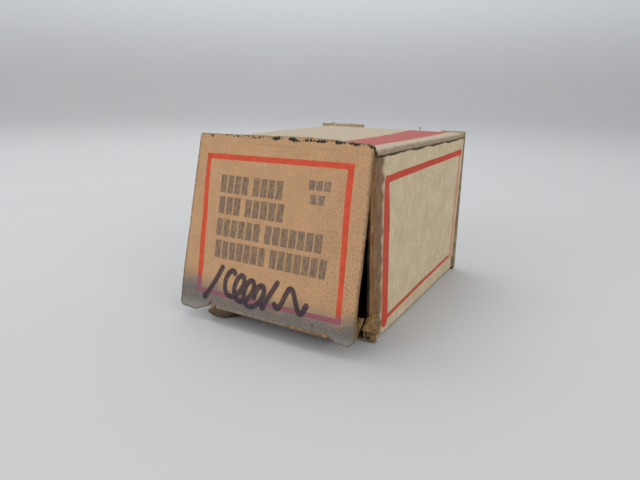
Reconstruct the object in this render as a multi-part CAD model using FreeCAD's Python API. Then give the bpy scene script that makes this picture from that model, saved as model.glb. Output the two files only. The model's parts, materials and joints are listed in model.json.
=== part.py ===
"""A small folding carton, its front end open, with the 22 mm lever selector switch that it packs.

Millimetres. X runs across the carton, Y from its front end to its rear end, Z up.
The origin is the centre of the carton's underside. Joint values are 0 as modelled.
"""

import FreeCAD
import Part
import math
import os

from FreeCAD import Matrix, Placement, Rotation, Vector

# ---- carton: driving dimensions ----
CARTON_W = 51.0            # outside width
CARTON_H = 46.4            # outside height
BOARD = 0.5                # thickness of the board
FOLD_R = 0.9               # outside radius of the sleeve's four long folds
EDGE_GAP = 0.15            # board edge to the board it faces across a crease
SWING_GAP = 0.5            # flap to the flap that swings past it

GLUE_FLAP_H = 11.5         # glue flap's height, down from the top fold
GLUE_FLAP_INSET = 2.0      # glue flap's ends, in from the sleeve's ends
SEAM_DROP = 1.7            # cut edge of the right panel, below the top face
LIP_H = (0.9, 1.9)         # torn-up lip on the top panel's front edge, at its ends and middle
LIP_T = 0.6
LIP_IN = 2.6               # its ends, in from the sleeve's sides

FRONT_REST_DEG = 14.4      # front closure swung out from closed
FRONT_OVER_LEFT = 1.7      # front closure's left edge past the sleeve's: its crease has sheared
FRONT_IN_RIGHT = 0.6       # its right edge, in from the sleeve's
FRONT_FOLD_SHORT = 3.1     # crease to tuck fold, short of the carton's height
FRONT_EAR_SHORT = (0.9, 1.7)        # left and right ears, short of the carton's height
FRONT_TUCK_INSET = (10.9, 7.5)      # tuck flap's edges, in from the sleeve's sides
TUCK_LENGTH = 10.5
TUCK_CORNER_R = 4.0
EAR_GAP = 0.3              # slit between a tuck flap and the ear beside it
TEAR_W = 3.7               # torn notch beside the front tuck
TEAR_H = 4.9

REAR_OVER_LEFT = 0.5       # rear closure's side edges past the sleeve's
REAR_OVER_RIGHT = 0.9
REAR_EAR_PROUD = 0.9       # rear closure's ears stand this far above the top face
REAR_TUCK_INSET = (16.3, 7.5)

DUST_LENGTH = 15.0
DUST_TAPER_DEG = 40.0      # taper beside the closure's crease
DUST_FAR_TAPER_DEG = 8.0   # taper beside the tuck flap
# each front dust flap: degrees folded in past the sleeve's end, width of its crushed crease
FRONT_DUST = {"left": (16.0, 0.0), "right": (78.0, 1.2)}

# ---- switch: driving dimensions ----
LEVER_TO_FRONT = 11.9      # sleeve's front end to the front of the lever
REAR_ROOM = 2.7            # contact blocks to the sleeve's rear end
FLOOR_GAP = 0.15           # bezel to the carton's floor

THREAD_R = 11.0            # 22 mm panel thread
THREAD_PITCH = 1.5
THREAD_START = 0.8         # panel face to the first thread
FLANGE_OVER = 2.0          # bushing's flange past its thread
BEZEL_OVER = 3.75          # bezel past the thread
BEZEL_TAPER = 1.15         # bezel's front, smaller all round
BEZEL_LAND = 1.6           # bezel's straight rear rim
BEZEL_EDGE = 0.5           # bevel round its front
BEZEL_DEPTH = 5.5
FLANGE_T = 2.5
THREAD_DEPTH = 0.45
THREAD_L = 13.0
BORE_R = 5.5
BEARING_L = 6.0            # bearing's length behind the panel face
NECK_WALL = 0.9
BUSHING_L = 15.2
GASKET_T = 1.1
GASKET_BEVEL = (0.8, 0.3)  # gasket's bevel, across and along
GASKET_INSET = 0.4         # gasket's edge, in from the bezel's
RUN_GAP = 0.05             # radial clearance of a running fit
PART_GAP = 0.1             # clearance between fixed pieces
KEY_W = 2.4
KEY_DEPTH = 0.8

LEVER_REACH = 20.0         # axis to the lever's tip
LEVER_TIP_R = 3.2
LEVER_HUB_R = 4.6
LEVER_HUB_DROP = 5.0
LEVER_FRONT = 13.6         # in front of the panel face
LEVER_EDGE_R = 1.2
GRIP_T = 5.5
GRIP_SEAT = 2.8            # lever's front to its screw's seat
INLAY_W = 1.4
INLAY_T = 0.6
SKIRT_EDGE_R = 0.6
SKIRT_R = 10.9
SKIRT_GAP = 0.4
SHAFT_FRONT_R = 3.5
SHAFT_REAR_R = 3.0
SHAFT_END = 14.2
SHAFT_TO_GRIP = 0.1        # shaft's front end to its hole's end
SHAFT_HOLE = 1.0           # that hole's end, in front of the skirt
FLAT_SHARE = 0.8           # a flat stands this share of the radius from the axis
SCREW_R = 1.45
SCREW_HEAD_T = 2.0
SCREW_DEPTH = 1.5          # lever screw's end, in front of the flange
ORING_R = 0.6
ORING_AT = (1.6, 3.2)      # its groove
SLOT_W = 0.8               # driver slots
SLOT_DEPTH = 0.8

CAM_TRAVEL = 1.8           # plunger travel for one lever throw
THROW_DEG = 60.0
CAM_HALF_DEG = 74.0        # each ramp reaches this far either side of its plunger
CAM_MID = 11.0             # ramp's middle, behind the panel face
CAM_RIM_R = 7.6
RAMP_OVER = 0.3            # ramp's edges past its plunger
CAM_BASE = (6.2, 8.7)
CLIP = (13.2, 13.8)
CLIP_OVER = 1.35           # clip past the shaft
CLIP_MOUTH = 2.8
CLIP_GRIP = 0.75           # its bore, as a share of the shaft's radius
NOTCH_R = 1.05
LEAF_OVER = 0.7            # cam's rim to the inner face of the detent leaf
LEAF_T = 0.4
LEAF_IN = 6.6              # leaf's half width, in from the thread
LEAF_SEAT = 1.2            # length of each end of the leaf that is held
LEAF_ROOM = 0.6            # room behind its middle

RING_AT = (5.0, 6.0)       # locating ring
RING_IN = 0.75             # locating ring's edge, in from the bezel's
NIB_W = 3.0                # its nib, which enters a notch in the panel
NIB_PROUD = 0.8
NIB_IN = (1.8, 0.4)
NUT_AT = (6.3, 10.3)       # panel nut
NUT_WALL = 1.55            # nut's flats past its thread
NUT_CORNER = 0.1           # its corners turned past its flats' circle
NUT_BEVEL = 1.0
ADAPTER_AT = (13.2, 17.4)
ADAPTER_HALF_X = 15.0
ADAPTER_IN = 0.2           # adapter's edge, in from the blocks'
ADAPTER_CORNER_R = 1.5
ADAPTER_WALL = 2.0

BLOCK_FRONT = 17.5
BLOCK_BACK = 35.0
BLOCK_HALF_X = 20.0
BLOCK_Z = (0.1, 14.5)      # away from the axis, up or down
WALL = 1.1
COVER_T = 1.6
PLUNGER_Z = 6.8
PLUNGER_R = 1.6
PLUNGER_ROOM = 0.2         # push rod to the bushing's wall
PLUNGER_GAP = 0.1          # nose to ramp, along the stroke
GUIDE_GAP = 0.15
CARRIER = (20.7, 27.4)
CARRIER_HALF_X = 2.2
CARRIER_HALF_Z = 4.6
BRIDGE_T = 0.8
BRIDGE_AT = 25.0
BRIDGE_HALF_X = 7.8
BRIDGE_HALF_Z = 2.4
TIP_X = 6.5
TIP_R = 1.3
TIP_T = 0.5
TIP_GAP = 0.06             # contact tips at full travel
STRIP_T = 0.8
STRIP_OVER = 0.6           # fixed strip past its contact tip
STRIP_GAP = 0.5            # and its outer end to the housing's wall
TERMINAL_R = 1.6
TERMINAL_HEAD_R = 3.0
TERMINAL_HEAD_T = 2.2
TERMINAL_REACH = 2.2       # screw's end, in front of the strip
CLAMP_HALF = 3.2
CLAMP_T = 0.8
CLAMP_GAP = 0.7            # clamp to the housing's wall
HEAD_ROOM = 0.4            # terminal head to its hole in the cover
ENTRY_ROOM = (0.9, 0.6)    # wire entry in front of the head, and behind it to the cover
LEDGE_BACK = 1.0           # ledge under each strip, from in front of the bridge
LEDGE_HALF = 4.0
RIB_T = 0.9
RIB_SHORT = 1.0            # guide rib's end, in front of the bridge's travel
FIXING_X = 9.3
FIXING_R = 1.2
FIXING_WALL = 1.0
FIXING_GAP = 0.4           # fixing hole to the housing's inner wall
FIXING_HEAD_R = 2.2
FIXING_SEAT = 0.5          # cover's face under each head
FIXING_REACH = 1.0         # screw's end in the adapter
FIXING_HOLE = 1.5
FIXING_SLOT = (0.7, 0.6)
WIRE_R = 0.35              # return spring's wire
RETURN_R = 1.9
RETURN_TURNS = 5
CONTACT_WIRE_R = 0.18
CONTACT_R = 1.5
CONTACT_TURNS = 3
WINDOW_L = 2.4             # carrier's window in front of the bridge

# ---- dependent places ----
CARTON_L = LEVER_TO_FRONT + LEVER_FRONT + BLOCK_BACK + REAR_ROOM
HALF_W = CARTON_W / 2
HALF_L = CARTON_L / 2
HALF_T = BOARD / 2
FRONT_LEFT = -HALF_W - FRONT_OVER_LEFT
FRONT_RIGHT = HALF_W - FRONT_IN_RIGHT
FRONT_FOLD = CARTON_H - FRONT_FOLD_SHORT
FRONT_TUCK_X = (FRONT_TUCK_INSET[0] - HALF_W, HALF_W - FRONT_TUCK_INSET[1])
REAR_LEFT = -HALF_W - REAR_OVER_LEFT
REAR_RIGHT = HALF_W + REAR_OVER_RIGHT
REAR_TUCK_X = (REAR_TUCK_INSET[0] - HALF_W, HALF_W - REAR_TUCK_INSET[1])

FLANGE_R = THREAD_R + FLANGE_OVER
BEZEL_R = THREAD_R + BEZEL_OVER
BEZEL_FRONT_R = BEZEL_R - BEZEL_TAPER
LEAF_HALF = THREAD_R - LEAF_IN
CAVITY_R = PLUNGER_Z + PLUNGER_R + PLUNGER_ROOM
NECK_R = CAVITY_R + NECK_WALL
CAM_RAMP_R = (PLUNGER_Z - PLUNGER_R - RAMP_OVER, CAVITY_R - RAMP_OVER)
LEAF_X = CAM_RIM_R + LEAF_OVER
ADAPTER_HALF_Z = BLOCK_Z[1] - ADAPTER_IN
TERMINAL_X = BLOCK_HALF_X - WALL - CLAMP_HALF - CLAMP_GAP
STRIP_X = (TIP_X - TIP_R - STRIP_OVER, BLOCK_HALF_X - WALL - STRIP_GAP)
FIXING_Z = BLOCK_Z[1] - WALL - FIXING_R - FIXING_GAP
AXIS_Z = BOARD + FLOOR_GAP + max(BEZEL_R, BLOCK_Z[1])
PANEL_Y = -HALF_L + LEVER_TO_FRONT + LEVER_FRONT
STRIP_AT = BRIDGE_AT + BRIDGE_T + TIP_T + CAM_TRAVEL + TIP_GAP + TIP_T
COVER_AT = BLOCK_BACK - COVER_T
LEDGE_AT = BRIDGE_AT - LEDGE_BACK
RIB_END = BRIDGE_AT - CAM_TRAVEL - RIB_SHORT
HEAD_AT = STRIP_AT + STRIP_T + CLAMP_T + 2 * PART_GAP

X_AXIS, Y_AXIS, Z_AXIS = Vector(1, 0, 0), Vector(0, 1, 0), Vector(0, 0, 1)
parts = {}


# ---- general shapes ----
def block(x, y, z):
    """A box from three (low, high) pairs."""
    return Part.makeBox(x[1] - x[0], y[1] - y[0], z[1] - z[0], Vector(x[0], y[0], z[0]))


def on_axis(x, s, z):
    """A box with s behind the panel face and z from the switch's axis."""
    s = [PANEL_Y + v for v in s]
    return block(x, s, [AXIS_Z + v for v in z])


def rod(radius, s, x=0.0, z=0.0):
    """A cylinder along Y between two distances behind the panel face."""
    start = Vector(x, PANEL_Y + s[0], AXIS_Z + z)
    return Part.makeCylinder(radius, s[1] - s[0], start, Y_AXIS)


def tube(outer, inner, s, x=0.0, z=0.0):
    return rod(outer, s, x, z).cut(rod(inner, s, x, z))


def turned(profile):
    """A closed (radius, s) outline revolved about the switch's axis."""
    points = [Vector(r, PANEL_Y + s, AXIS_Z) for r, s in profile]
    face = Part.Face(Part.makePolygon(points + points[:1]))
    return face.revolve(Vector(0, PANEL_Y, AXIS_Z), Y_AXIS, 360)


def polygon_plate(outline, thickness):
    """A flat plate, centred on its thickness, from (u, v) points."""
    points = [Vector(u, v, -thickness / 2) for u, v in outline]
    return Part.Face(Part.makePolygon(points + points[:1])).extrude(Z_AXIS * thickness)


def stand(shape, origin, along, away):
    """Move a shape so that its X runs along a crease and its Y runs away from it."""
    face = along.cross(away)
    matrix = Matrix(along.x, away.x, face.x, origin.x,
                    along.y, away.y, face.y, origin.y,
                    along.z, away.z, face.z, origin.z,
                    0, 0, 0, 1)
    shape.Placement = Placement(matrix)
    return shape


def flap(outline, root, corner_r=0.0):
    """A board flap with a round root on its crease, from (along, away) points."""
    plate = polygon_plate(outline, BOARD)
    if corner_r:
        far = max(v for _, v in outline) - corner_r
        ends = [e for e in plate.Edges
                if abs(e.BoundBox.ZLength - BOARD) < 0.01 and e.BoundBox.YMin > far]
        plate = plate.makeFillet(corner_r, ends)
    bead = Part.makeCylinder(HALF_T, root[1] - root[0], Vector(root[0], 0, 0), X_AXIS)
    return plate.fuse(bead).removeSplitter()


# ---- carton ----
def sleeve_ring():
    """The sleeve's section along its whole length, with rounded folds."""
    def rounded(inset, radius):
        solid = block((inset - HALF_W, HALF_W - inset), (-HALF_L, HALF_L),
                      (inset, CARTON_H - inset))
        edges = [e for e in solid.Edges if e.BoundBox.YLength > CARTON_L - 1]
        return solid.makeFillet(radius, edges)
    return rounded(0, FOLD_R).cut(rounded(BOARD, FOLD_R - BOARD))


def side_of_ring(ring, corners):
    """The part of the ring between two mitred folds; corners are (x, z) points outside it."""
    reach = min(HALF_W, CARTON_H / 2) / 2
    inner = [(x - math.copysign(reach, x), z - math.copysign(reach, z - 1)) for x, z in corners]
    points = [Vector(x, -HALF_L, z) for x, z in corners + inner[::-1]]
    wedge = Part.Face(Part.makePolygon(points + points[:1])).extrude(Y_AXIS * CARTON_L)
    return ring.common(wedge)


def make_sleeve():
    """Four panels, parted at the middle of each fold, and the glue flap inside the right one.
    The top panel's front edge carries a lip of board, crushed upward along the closure's crease.
    """
    ring = sleeve_ring()
    low_left, low_right = (-HALF_W, 0), (HALF_W, 0)
    top_left, top_right = (-HALF_W, CARTON_H), (HALF_W, CARTON_H)
    end = HALF_W - LIP_IN
    ends, middle = [CARTON_H + height for height in LIP_H]
    sunk = CARTON_H - HALF_T
    rise = Part.Arc(Vector(-end, -HALF_L, ends), Vector(0, -HALF_L, middle),
                    Vector(end, -HALF_L, ends)).toShape()
    foot = Part.makePolygon([Vector(end, -HALF_L, ends), Vector(end, -HALF_L, sunk),
                             Vector(-end, -HALF_L, sunk), Vector(-end, -HALF_L, ends)])
    lip = Part.Face(Part.Wire([rise] + foot.Edges)).extrude(Y_AXIS * LIP_T)
    parts["top_panel"] = side_of_ring(ring, [top_left, top_right]).fuse(lip).removeSplitter()
    parts["bottom_panel"] = side_of_ring(ring, [low_left, low_right])
    parts["left_panel"] = side_of_ring(ring, [low_left, top_left])
    right = side_of_ring(ring, [low_right, top_right])
    seam = CARTON_H - SEAM_DROP
    above = block((0, HALF_W), (-HALF_L, HALF_L), (seam, CARTON_H))
    parts["right_panel"] = right.cut(above)
    fold = right.common(above.translated(Vector(0, 0, PART_GAP)))
    strip = block((HALF_W - 2 * BOARD, HALF_W - BOARD),
                  (-HALF_L + GLUE_FLAP_INSET, HALF_L - GLUE_FLAP_INSET),
                  (CARTON_H - GLUE_FLAP_H, CARTON_H - FOLD_R))
    parts["glue_flap"] = fold.fuse(strip).removeSplitter()


def make_front_closure():
    """The printed end panel, creased at the top, its tuck flap folded square to it."""
    crease = Vector(0, -HALF_L - EDGE_GAP - HALF_T, CARTON_H - HALF_T)
    angle = math.radians(FRONT_REST_DEG)
    away = Vector(0, -math.sin(angle), -math.cos(angle))
    inward = Vector(0, math.cos(angle), -math.sin(angle))
    ear_left, ear_right = [CARTON_H - short - HALF_T for short in FRONT_EAR_SHORT]
    fold = FRONT_FOLD - HALF_T
    edge = fold - HALF_T - PART_GAP
    low, high = FRONT_TUCK_X
    outline = [(FRONT_LEFT, 0), (FRONT_RIGHT, 0), (FRONT_RIGHT, ear_right),
               (high + EAR_GAP, ear_right), (high + EAR_GAP, edge), (low, edge),
               (low - TEAR_W / 2, ear_left - TEAR_H), (low - TEAR_W, ear_left),
               (FRONT_LEFT, ear_left)]
    panel = flap(outline, (FRONT_LEFT, FRONT_RIGHT))
    parts["front_closure_panel"] = stand(panel, crease, X_AXIS, away)
    tuck = flap([(low, 0), (high, 0), (high, TUCK_LENGTH), (low, TUCK_LENGTH)],
                (low, high), TUCK_CORNER_R)
    parts["front_tuck_flap"] = stand(tuck, crease + away * fold, X_AXIS, inward)


def rear_fold():
    """Crease to tuck fold, so that the tuck flap's tip swings clear under the top panel."""
    room = CARTON_H - BOARD - HALF_T - HALF_T - EDGE_GAP
    return math.sqrt(room ** 2 - TUCK_LENGTH ** 2) - EDGE_GAP


def make_rear_closure():
    """The rear end panel, creased at the bottom, tucked in under the top panel."""
    crease = Vector(0, HALF_L + EDGE_GAP + HALF_T, HALF_T)
    fold = rear_fold()
    ear = CARTON_H + REAR_EAR_PROUD - HALF_T
    low, high = REAR_TUCK_X
    edge = fold - HALF_T
    outline = [(REAR_LEFT, 0), (REAR_RIGHT, 0), (REAR_RIGHT, ear - REAR_EAR_PROUD),
               (high + EAR_GAP, ear - REAR_EAR_PROUD), (high + EAR_GAP, edge),
               (low - EAR_GAP, edge), (low - EAR_GAP, ear), (REAR_LEFT, ear)]
    panel = flap(outline, (REAR_LEFT, REAR_RIGHT))
    parts["rear_closure_panel"] = stand(panel, crease, X_AXIS, Z_AXIS)
    tuck = flap([(low, 0), (high, 0), (high, TUCK_LENGTH), (low, TUCK_LENGTH)],
                (low, high), TUCK_CORNER_R)
    parts["rear_tuck_flap"] = stand(tuck, crease + Z_AXIS * fold, X_AXIS, -Y_AXIS)


def dust_flap(low, high, closure_at_top):
    """A dust flap, from its lower to its upper edge, tapered most beside the closure's crease."""
    steep = DUST_LENGTH * math.tan(math.radians(DUST_TAPER_DEG))
    mild = DUST_LENGTH * math.tan(math.radians(DUST_FAR_TAPER_DEG))
    lower, upper = (mild, steep) if closure_at_top else (steep, mild)
    outline = [(low, 0), (low + lower, DUST_LENGTH), (high - upper, DUST_LENGTH), (high, 0)]
    return flap(outline, (low, high))


def make_dust_flaps():
    """Two dust flaps at each end, creased on the side panels' ends."""
    root_x = HALF_W - BOARD - EDGE_GAP - HALF_T
    rear_y = HALF_L - HALF_T
    front_low = CARTON_H - FRONT_FOLD + HALF_T + SWING_GAP
    front_high = CARTON_H - BOARD - SWING_GAP
    rear_low = BOARD + 2 * SWING_GAP
    rear_high = rear_fold() - SWING_GAP
    for name, side in (("left", -1), ("right", 1)):
        folded_deg, crushed = FRONT_DUST[name]
        angle = math.radians(folded_deg)
        root = Vector(side * (root_x - crushed), HALF_T - HALF_L, 0)
        away = Vector(-side * math.cos(angle), math.sin(angle), 0)
        front = stand(dust_flap(front_low, front_high, True), root, Z_AXIS, away)
        rear = stand(dust_flap(rear_low, rear_high, False), Vector(side * root_x, rear_y, 0),
                     Z_AXIS, X_AXIS * -side)
        parts["front_dust_flap_" + name] = front
        parts["rear_dust_flap_" + name] = rear


# ---- operator ----
def flatted(radius, s, grow=0.0):
    """A round bar with one flat on its +X side."""
    flat = FLAT_SHARE * radius + grow
    return rod(radius + grow, s).cut(on_axis((flat, flat + radius), s, (-radius, radius)))


def make_lever():
    """The lever: a skirt inside the bezel and a tapering grip, with its inlay and screw."""
    drop, tip = -LEVER_HUB_DROP, LEVER_REACH - LEVER_TIP_R
    lean = math.asin((LEVER_HUB_R - LEVER_TIP_R) / (tip - drop))

    def point(radius, middle, angle):
        return Vector(radius * math.cos(angle), PANEL_Y - LEVER_FRONT,
                      AXIS_Z + middle + radius * math.sin(angle))

    hub = [point(LEVER_HUB_R, drop, a) for a in (math.pi - lean, -math.pi / 2, lean)]
    end = [point(LEVER_TIP_R, tip, a) for a in (lean, math.pi / 2, math.pi - lean)]
    outline = Part.Wire([Part.Arc(*hub).toShape(), Part.makeLine(hub[2], end[0]),
                         Part.Arc(*end).toShape(), Part.makeLine(end[2], hub[0])])
    grip = Part.Face(outline).extrude(Y_AXIS * GRIP_T)
    front = [e for e in grip.Edges if e.BoundBox.YMax < PANEL_Y - LEVER_FRONT + 0.01]
    grip = grip.makeFillet(LEVER_EDGE_R, front)
    skirt_back = -FLANGE_T - SKIRT_GAP
    skirt = rod(SKIRT_R, (GRIP_T - LEVER_FRONT, skirt_back))
    rim = [e for e in skirt.Edges if e.BoundBox.YMax < PANEL_Y + GRIP_T - LEVER_FRONT + 0.01
           and e.BoundBox.YLength < 0.01]
    lever = grip.fuse(skirt.makeFillet(SKIRT_EDGE_R, rim))
    stub = GRIP_T - LEVER_FRONT - SHAFT_HOLE
    seat = GRIP_SEAT - LEVER_FRONT
    lever = lever.cut(flatted(SHAFT_FRONT_R, (stub, skirt_back), RUN_GAP))
    lever = lever.cut(rod(2 * SCREW_R, (-LEVER_FRONT, seat)))
    lever = lever.cut(rod(SCREW_R + GUIDE_GAP, (seat, stub)))
    inlay = on_axis((-INLAY_W / 2, INLAY_W / 2), (-LEVER_FRONT, INLAY_T - LEVER_FRONT),
                    (BEZEL_R - LEVER_HUB_R, LEVER_REACH - LEVER_TIP_R / 2))
    parts["lever_handle"] = lever.cut(inlay)
    parts["lever_pointer"] = inlay
    head = seat - SCREW_HEAD_T
    screw = rod(2 * SCREW_R - PART_GAP, (head, seat)).fuse(
        rod(SCREW_R, (seat, -FLANGE_T - SCREW_DEPTH)))
    slot = on_axis((-2 * SCREW_R, 2 * SCREW_R), (head, head + SLOT_DEPTH),
                   (-SLOT_W / 2, SLOT_W / 2))
    parts["lever_screw"] = screw.cut(slot).removeSplitter()


def make_shaft():
    """The shaft with its seal and its retaining clip."""
    front = GRIP_T - LEVER_FRONT - SHAFT_HOLE + SHAFT_TO_GRIP
    shaft = flatted(SHAFT_FRONT_R, (front, -FLANGE_T))
    shaft = shaft.fuse(rod(BORE_R - RUN_GAP, (-FLANGE_T, BEARING_L)))
    shaft = shaft.fuse(flatted(SHAFT_REAR_R, (BEARING_L, SHAFT_END))).removeSplitter()
    shaft = shaft.cut(rod(SCREW_R, (front, -FLANGE_T - SCREW_DEPTH + PART_GAP)))
    seal_r = BORE_R - RUN_GAP - ORING_R
    groove = tube(BORE_R, seal_r - ORING_R, ORING_AT)
    clip_r = CLIP_GRIP * SHAFT_REAR_R
    parts["shaft"] = shaft.cut(groove).cut(tube(SHAFT_REAR_R + 1, clip_r, CLIP))
    middle = Vector(0, PANEL_Y + sum(ORING_AT) / 2, AXIS_Z)
    parts["shaft_seal"] = Part.makeTorus(seal_r, ORING_R, middle, Y_AXIS)
    clip = tube(SHAFT_REAR_R + CLIP_OVER, clip_r, CLIP)
    mouth = on_axis((-CLIP_MOUTH / 2, CLIP_MOUTH / 2), CLIP, (-2 * SHAFT_REAR_R, 0))
    parts["shaft_clip"] = clip.cut(mouth)


def cam_ramp():
    """One helical ramp about the local Z axis, centred on 180 degrees, rising with the angle."""
    rise = CAM_TRAVEL / THROW_DEG
    height = 2 * CAM_HALF_DEG * rise
    edges = []
    for radius in (CAM_RAMP_R[0] - 1, CAM_RAMP_R[1] + 1):
        helix = Part.makeHelix(360 * rise, height, radius)
        helix.Placement = Placement(Vector(0, 0, CAM_MID - height / 2),
                                    Rotation(Z_AXIS, 180 - CAM_HALF_DEG))
        edges.append(helix.Edges[0])
    sheet = Part.makeRuledSurface(*edges)
    body = sheet.extrude(Vector(0, 0, -height - 2))
    ring = Part.makeCylinder(CAM_RAMP_R[1], height + 4, Vector(0, 0, CAM_BASE[1] - 0.4))
    ring = ring.cut(Part.makeCylinder(CAM_RAMP_R[0] - 0.4, height + 4,
                                      Vector(0, 0, CAM_BASE[1] - 0.4)))
    return body.common(ring)


def make_cam():
    """The rotor: a rim with three detent notches and two opposed ramps."""
    lower = cam_ramp()
    upper = lower.mirror(Vector(0, 0, 0), Y_AXIS)
    upper.rotate(Vector(0, 0, 0), Z_AXIS, 180)
    rotor = Part.makeCylinder(CAM_RIM_R, CAM_BASE[1] - CAM_BASE[0], Vector(0, 0, CAM_BASE[0]))
    hub = Part.makeCylinder(CAM_RAMP_R[0], CLIP[0] - PART_GAP - CAM_BASE[0],
                            Vector(0, 0, CAM_BASE[0]))
    rotor = rotor.fuse([hub, lower, upper])
    for turn in (-THROW_DEG, 0, THROW_DEG):
        angle = math.radians(90 + turn)
        centre = Vector(LEAF_X * math.cos(angle), LEAF_X * math.sin(angle), CAM_BASE[0] - 1)
        rotor = rotor.cut(Part.makeCylinder(NOTCH_R, CAM_BASE[1] - CAM_BASE[0] + 1, centre))
    rotor = stand(rotor, Vector(0, PANEL_Y, AXIS_Z), Z_AXIS, X_AXIS)
    bore = flatted(SHAFT_REAR_R, (CAM_BASE[0] - 1, SHAFT_END), RUN_GAP)
    parts["cam_rotor"] = rotor.cut(bore).removeSplitter()


def make_bushing():
    """The threaded bushing that passes through the panel, with its cam chamber."""
    profile = [(BORE_R, -FLANGE_T), (FLANGE_R, -FLANGE_T), (FLANGE_R, 0), (THREAD_R, 0)]
    turns = int((THREAD_L - 1) / THREAD_PITCH)
    for n in range(turns):
        start = THREAD_START + n * THREAD_PITCH
        profile += [(THREAD_R, start), (THREAD_R - THREAD_DEPTH, start + 0.5 * THREAD_PITCH)]
    profile += [(THREAD_R, THREAD_START + turns * THREAD_PITCH), (THREAD_R, THREAD_L),
                (NECK_R, THREAD_L), (NECK_R, BUSHING_L), (CAVITY_R, BUSHING_L),
                (CAVITY_R, BEARING_L), (BORE_R, BEARING_L)]
    bushing = turned(profile)
    leaf_back = LEAF_X + LEAF_T
    s = (CAM_BASE[0] + PART_GAP, CAM_BASE[1])
    inner = CAM_RIM_R - LEAF_HALF / 2
    held, free = LEAF_HALF + 4 * PART_GAP, LEAF_HALF - LEAF_SEAT
    bushing = bushing.cut(on_axis((inner, leaf_back + PART_GAP / 2), s, (-held, held)))
    bushing = bushing.cut(on_axis((inner, leaf_back + LEAF_ROOM), s, (-free, free)))
    key = on_axis((-KEY_W / 2, KEY_W / 2), (THREAD_START, THREAD_L),
                  (THREAD_R - KEY_DEPTH, THREAD_R + KEY_DEPTH))
    parts["mounting_bushing"] = bushing.cut(key)
    leaf = on_axis((LEAF_X, leaf_back), (s[0] + PART_GAP, s[1] - PART_GAP),
                   (-LEAF_HALF, LEAF_HALF))
    nose = rod(NOTCH_R - PART_GAP, (s[0] + PART_GAP, s[1] - PART_GAP), LEAF_X)
    behind = on_axis((leaf_back, leaf_back + NOTCH_R), s, (-NOTCH_R, NOTCH_R))
    parts["detent_spring"] = leaf.fuse(nose.cut(behind)).removeSplitter()


def make_front_hardware():
    """Bezel, panel gasket, locating ring and panel nut."""
    recess = FLANGE_T + PART_GAP
    parts["bezel_ring"] = turned([
        (SKIRT_R + SKIRT_GAP, -BEZEL_DEPTH), (BEZEL_FRONT_R - BEZEL_EDGE, -BEZEL_DEPTH),
        (BEZEL_FRONT_R, BEZEL_EDGE - BEZEL_DEPTH), (BEZEL_R, -BEZEL_LAND), (BEZEL_R, 0),
        (FLANGE_R + RUN_GAP, 0), (FLANGE_R + RUN_GAP, -recess),
        (SKIRT_R + SKIRT_GAP, -recess)])
    inner = THREAD_R + GUIDE_GAP
    outer = BEZEL_R - GASKET_INSET
    across, along = GASKET_BEVEL
    parts["panel_gasket"] = turned([
        (inner, 0), (outer, 0), (outer, GASKET_T - along), (outer - across / 2, GASKET_T),
        (inner + across, GASKET_T), (inner, GASKET_T - along)])
    ring_r = BEZEL_R - RING_IN
    ring = tube(ring_r, inner, RING_AT)
    tab_x = KEY_W / 2 - PART_GAP
    ring = ring.fuse(on_axis((-tab_x, tab_x), RING_AT,
                             (THREAD_R - KEY_DEPTH + PART_GAP, inner + KEY_DEPTH)))
    nib = on_axis((-NIB_W / 2, NIB_W / 2), (RING_AT[0] - NIB_PROUD, RING_AT[0] + PART_GAP),
                  [ring_r - v for v in NIB_IN])
    parts["locating_ring"] = ring.fuse(nib).removeSplitter()
    flats = THREAD_R + NUT_WALL
    across = flats / math.cos(math.radians(30))
    corners = [(across * math.sin(math.radians(a)), across * math.cos(math.radians(a)))
               for a in range(30, 390, 60)]
    nut = polygon_plate(corners, NUT_AT[1] - NUT_AT[0])
    nut = stand(nut, Vector(0, PANEL_Y + sum(NUT_AT) / 2, AXIS_Z), X_AXIS, -Z_AXIS)
    turned_r = across + NUT_CORNER
    cone = turned([(0, NUT_AT[0]), (flats, NUT_AT[0]), (turned_r, NUT_AT[0] + NUT_BEVEL),
                   (turned_r, NUT_AT[1] - NUT_BEVEL), (flats, NUT_AT[1]), (0, NUT_AT[1])])
    parts["panel_nut"] = nut.common(cone).cut(rod(THREAD_R + RUN_GAP, NUT_AT))


def make_adapter():
    """The plate that clips on behind the bushing and carries both contact blocks."""
    half_x, half_z = ADAPTER_HALF_X, ADAPTER_HALF_Z
    plate = on_axis((-half_x, half_x), ADAPTER_AT, (-half_z, half_z))
    corners = [e for e in plate.Edges if e.BoundBox.YLength > ADAPTER_WALL]
    plate = plate.makeFillet(ADAPTER_CORNER_R, corners)
    floor_at = ADAPTER_AT[1] - ADAPTER_WALL
    plate = plate.cut(rod(NECK_R + RUN_GAP, (ADAPTER_AT[0], floor_at)))
    for side in (-1, 1):
        plate = plate.cut(rod(PLUNGER_R + GUIDE_GAP, ADAPTER_AT, 0, side * PLUNGER_Z))
        for x in (-FIXING_X, FIXING_X):
            plate = plate.cut(rod(FIXING_R, (floor_at - FIXING_HOLE, ADAPTER_AT[1]), x,
                                  side * FIXING_Z))
    parts["mounting_adapter"] = plate


# ---- contact blocks ----
def spring(mean_r, wire_r, s, turns, z):
    """A compression spring along the switch's axis."""
    length = s[1] - s[0] - 2 * wire_r
    pitch = length / turns
    helix = Part.makeHelix(pitch, length, mean_r)
    tilt = math.atan2(pitch, 2 * math.pi * mean_r)
    tangent = Vector(0, math.cos(tilt), math.sin(tilt))
    section = Part.Wire(Part.makeCircle(wire_r, Vector(mean_r, 0, 0), tangent))
    coil = Part.Wire(helix.Edges).makePipeShell([section], True, True)
    return stand(coil, Vector(0, PANEL_Y + s[0] + wire_r, AXIS_Z + z), Z_AXIS, X_AXIS)


def both_sides(low, high):
    """The span from low to high, and its mirror image."""
    return (low, high), (-high, -low)


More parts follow.
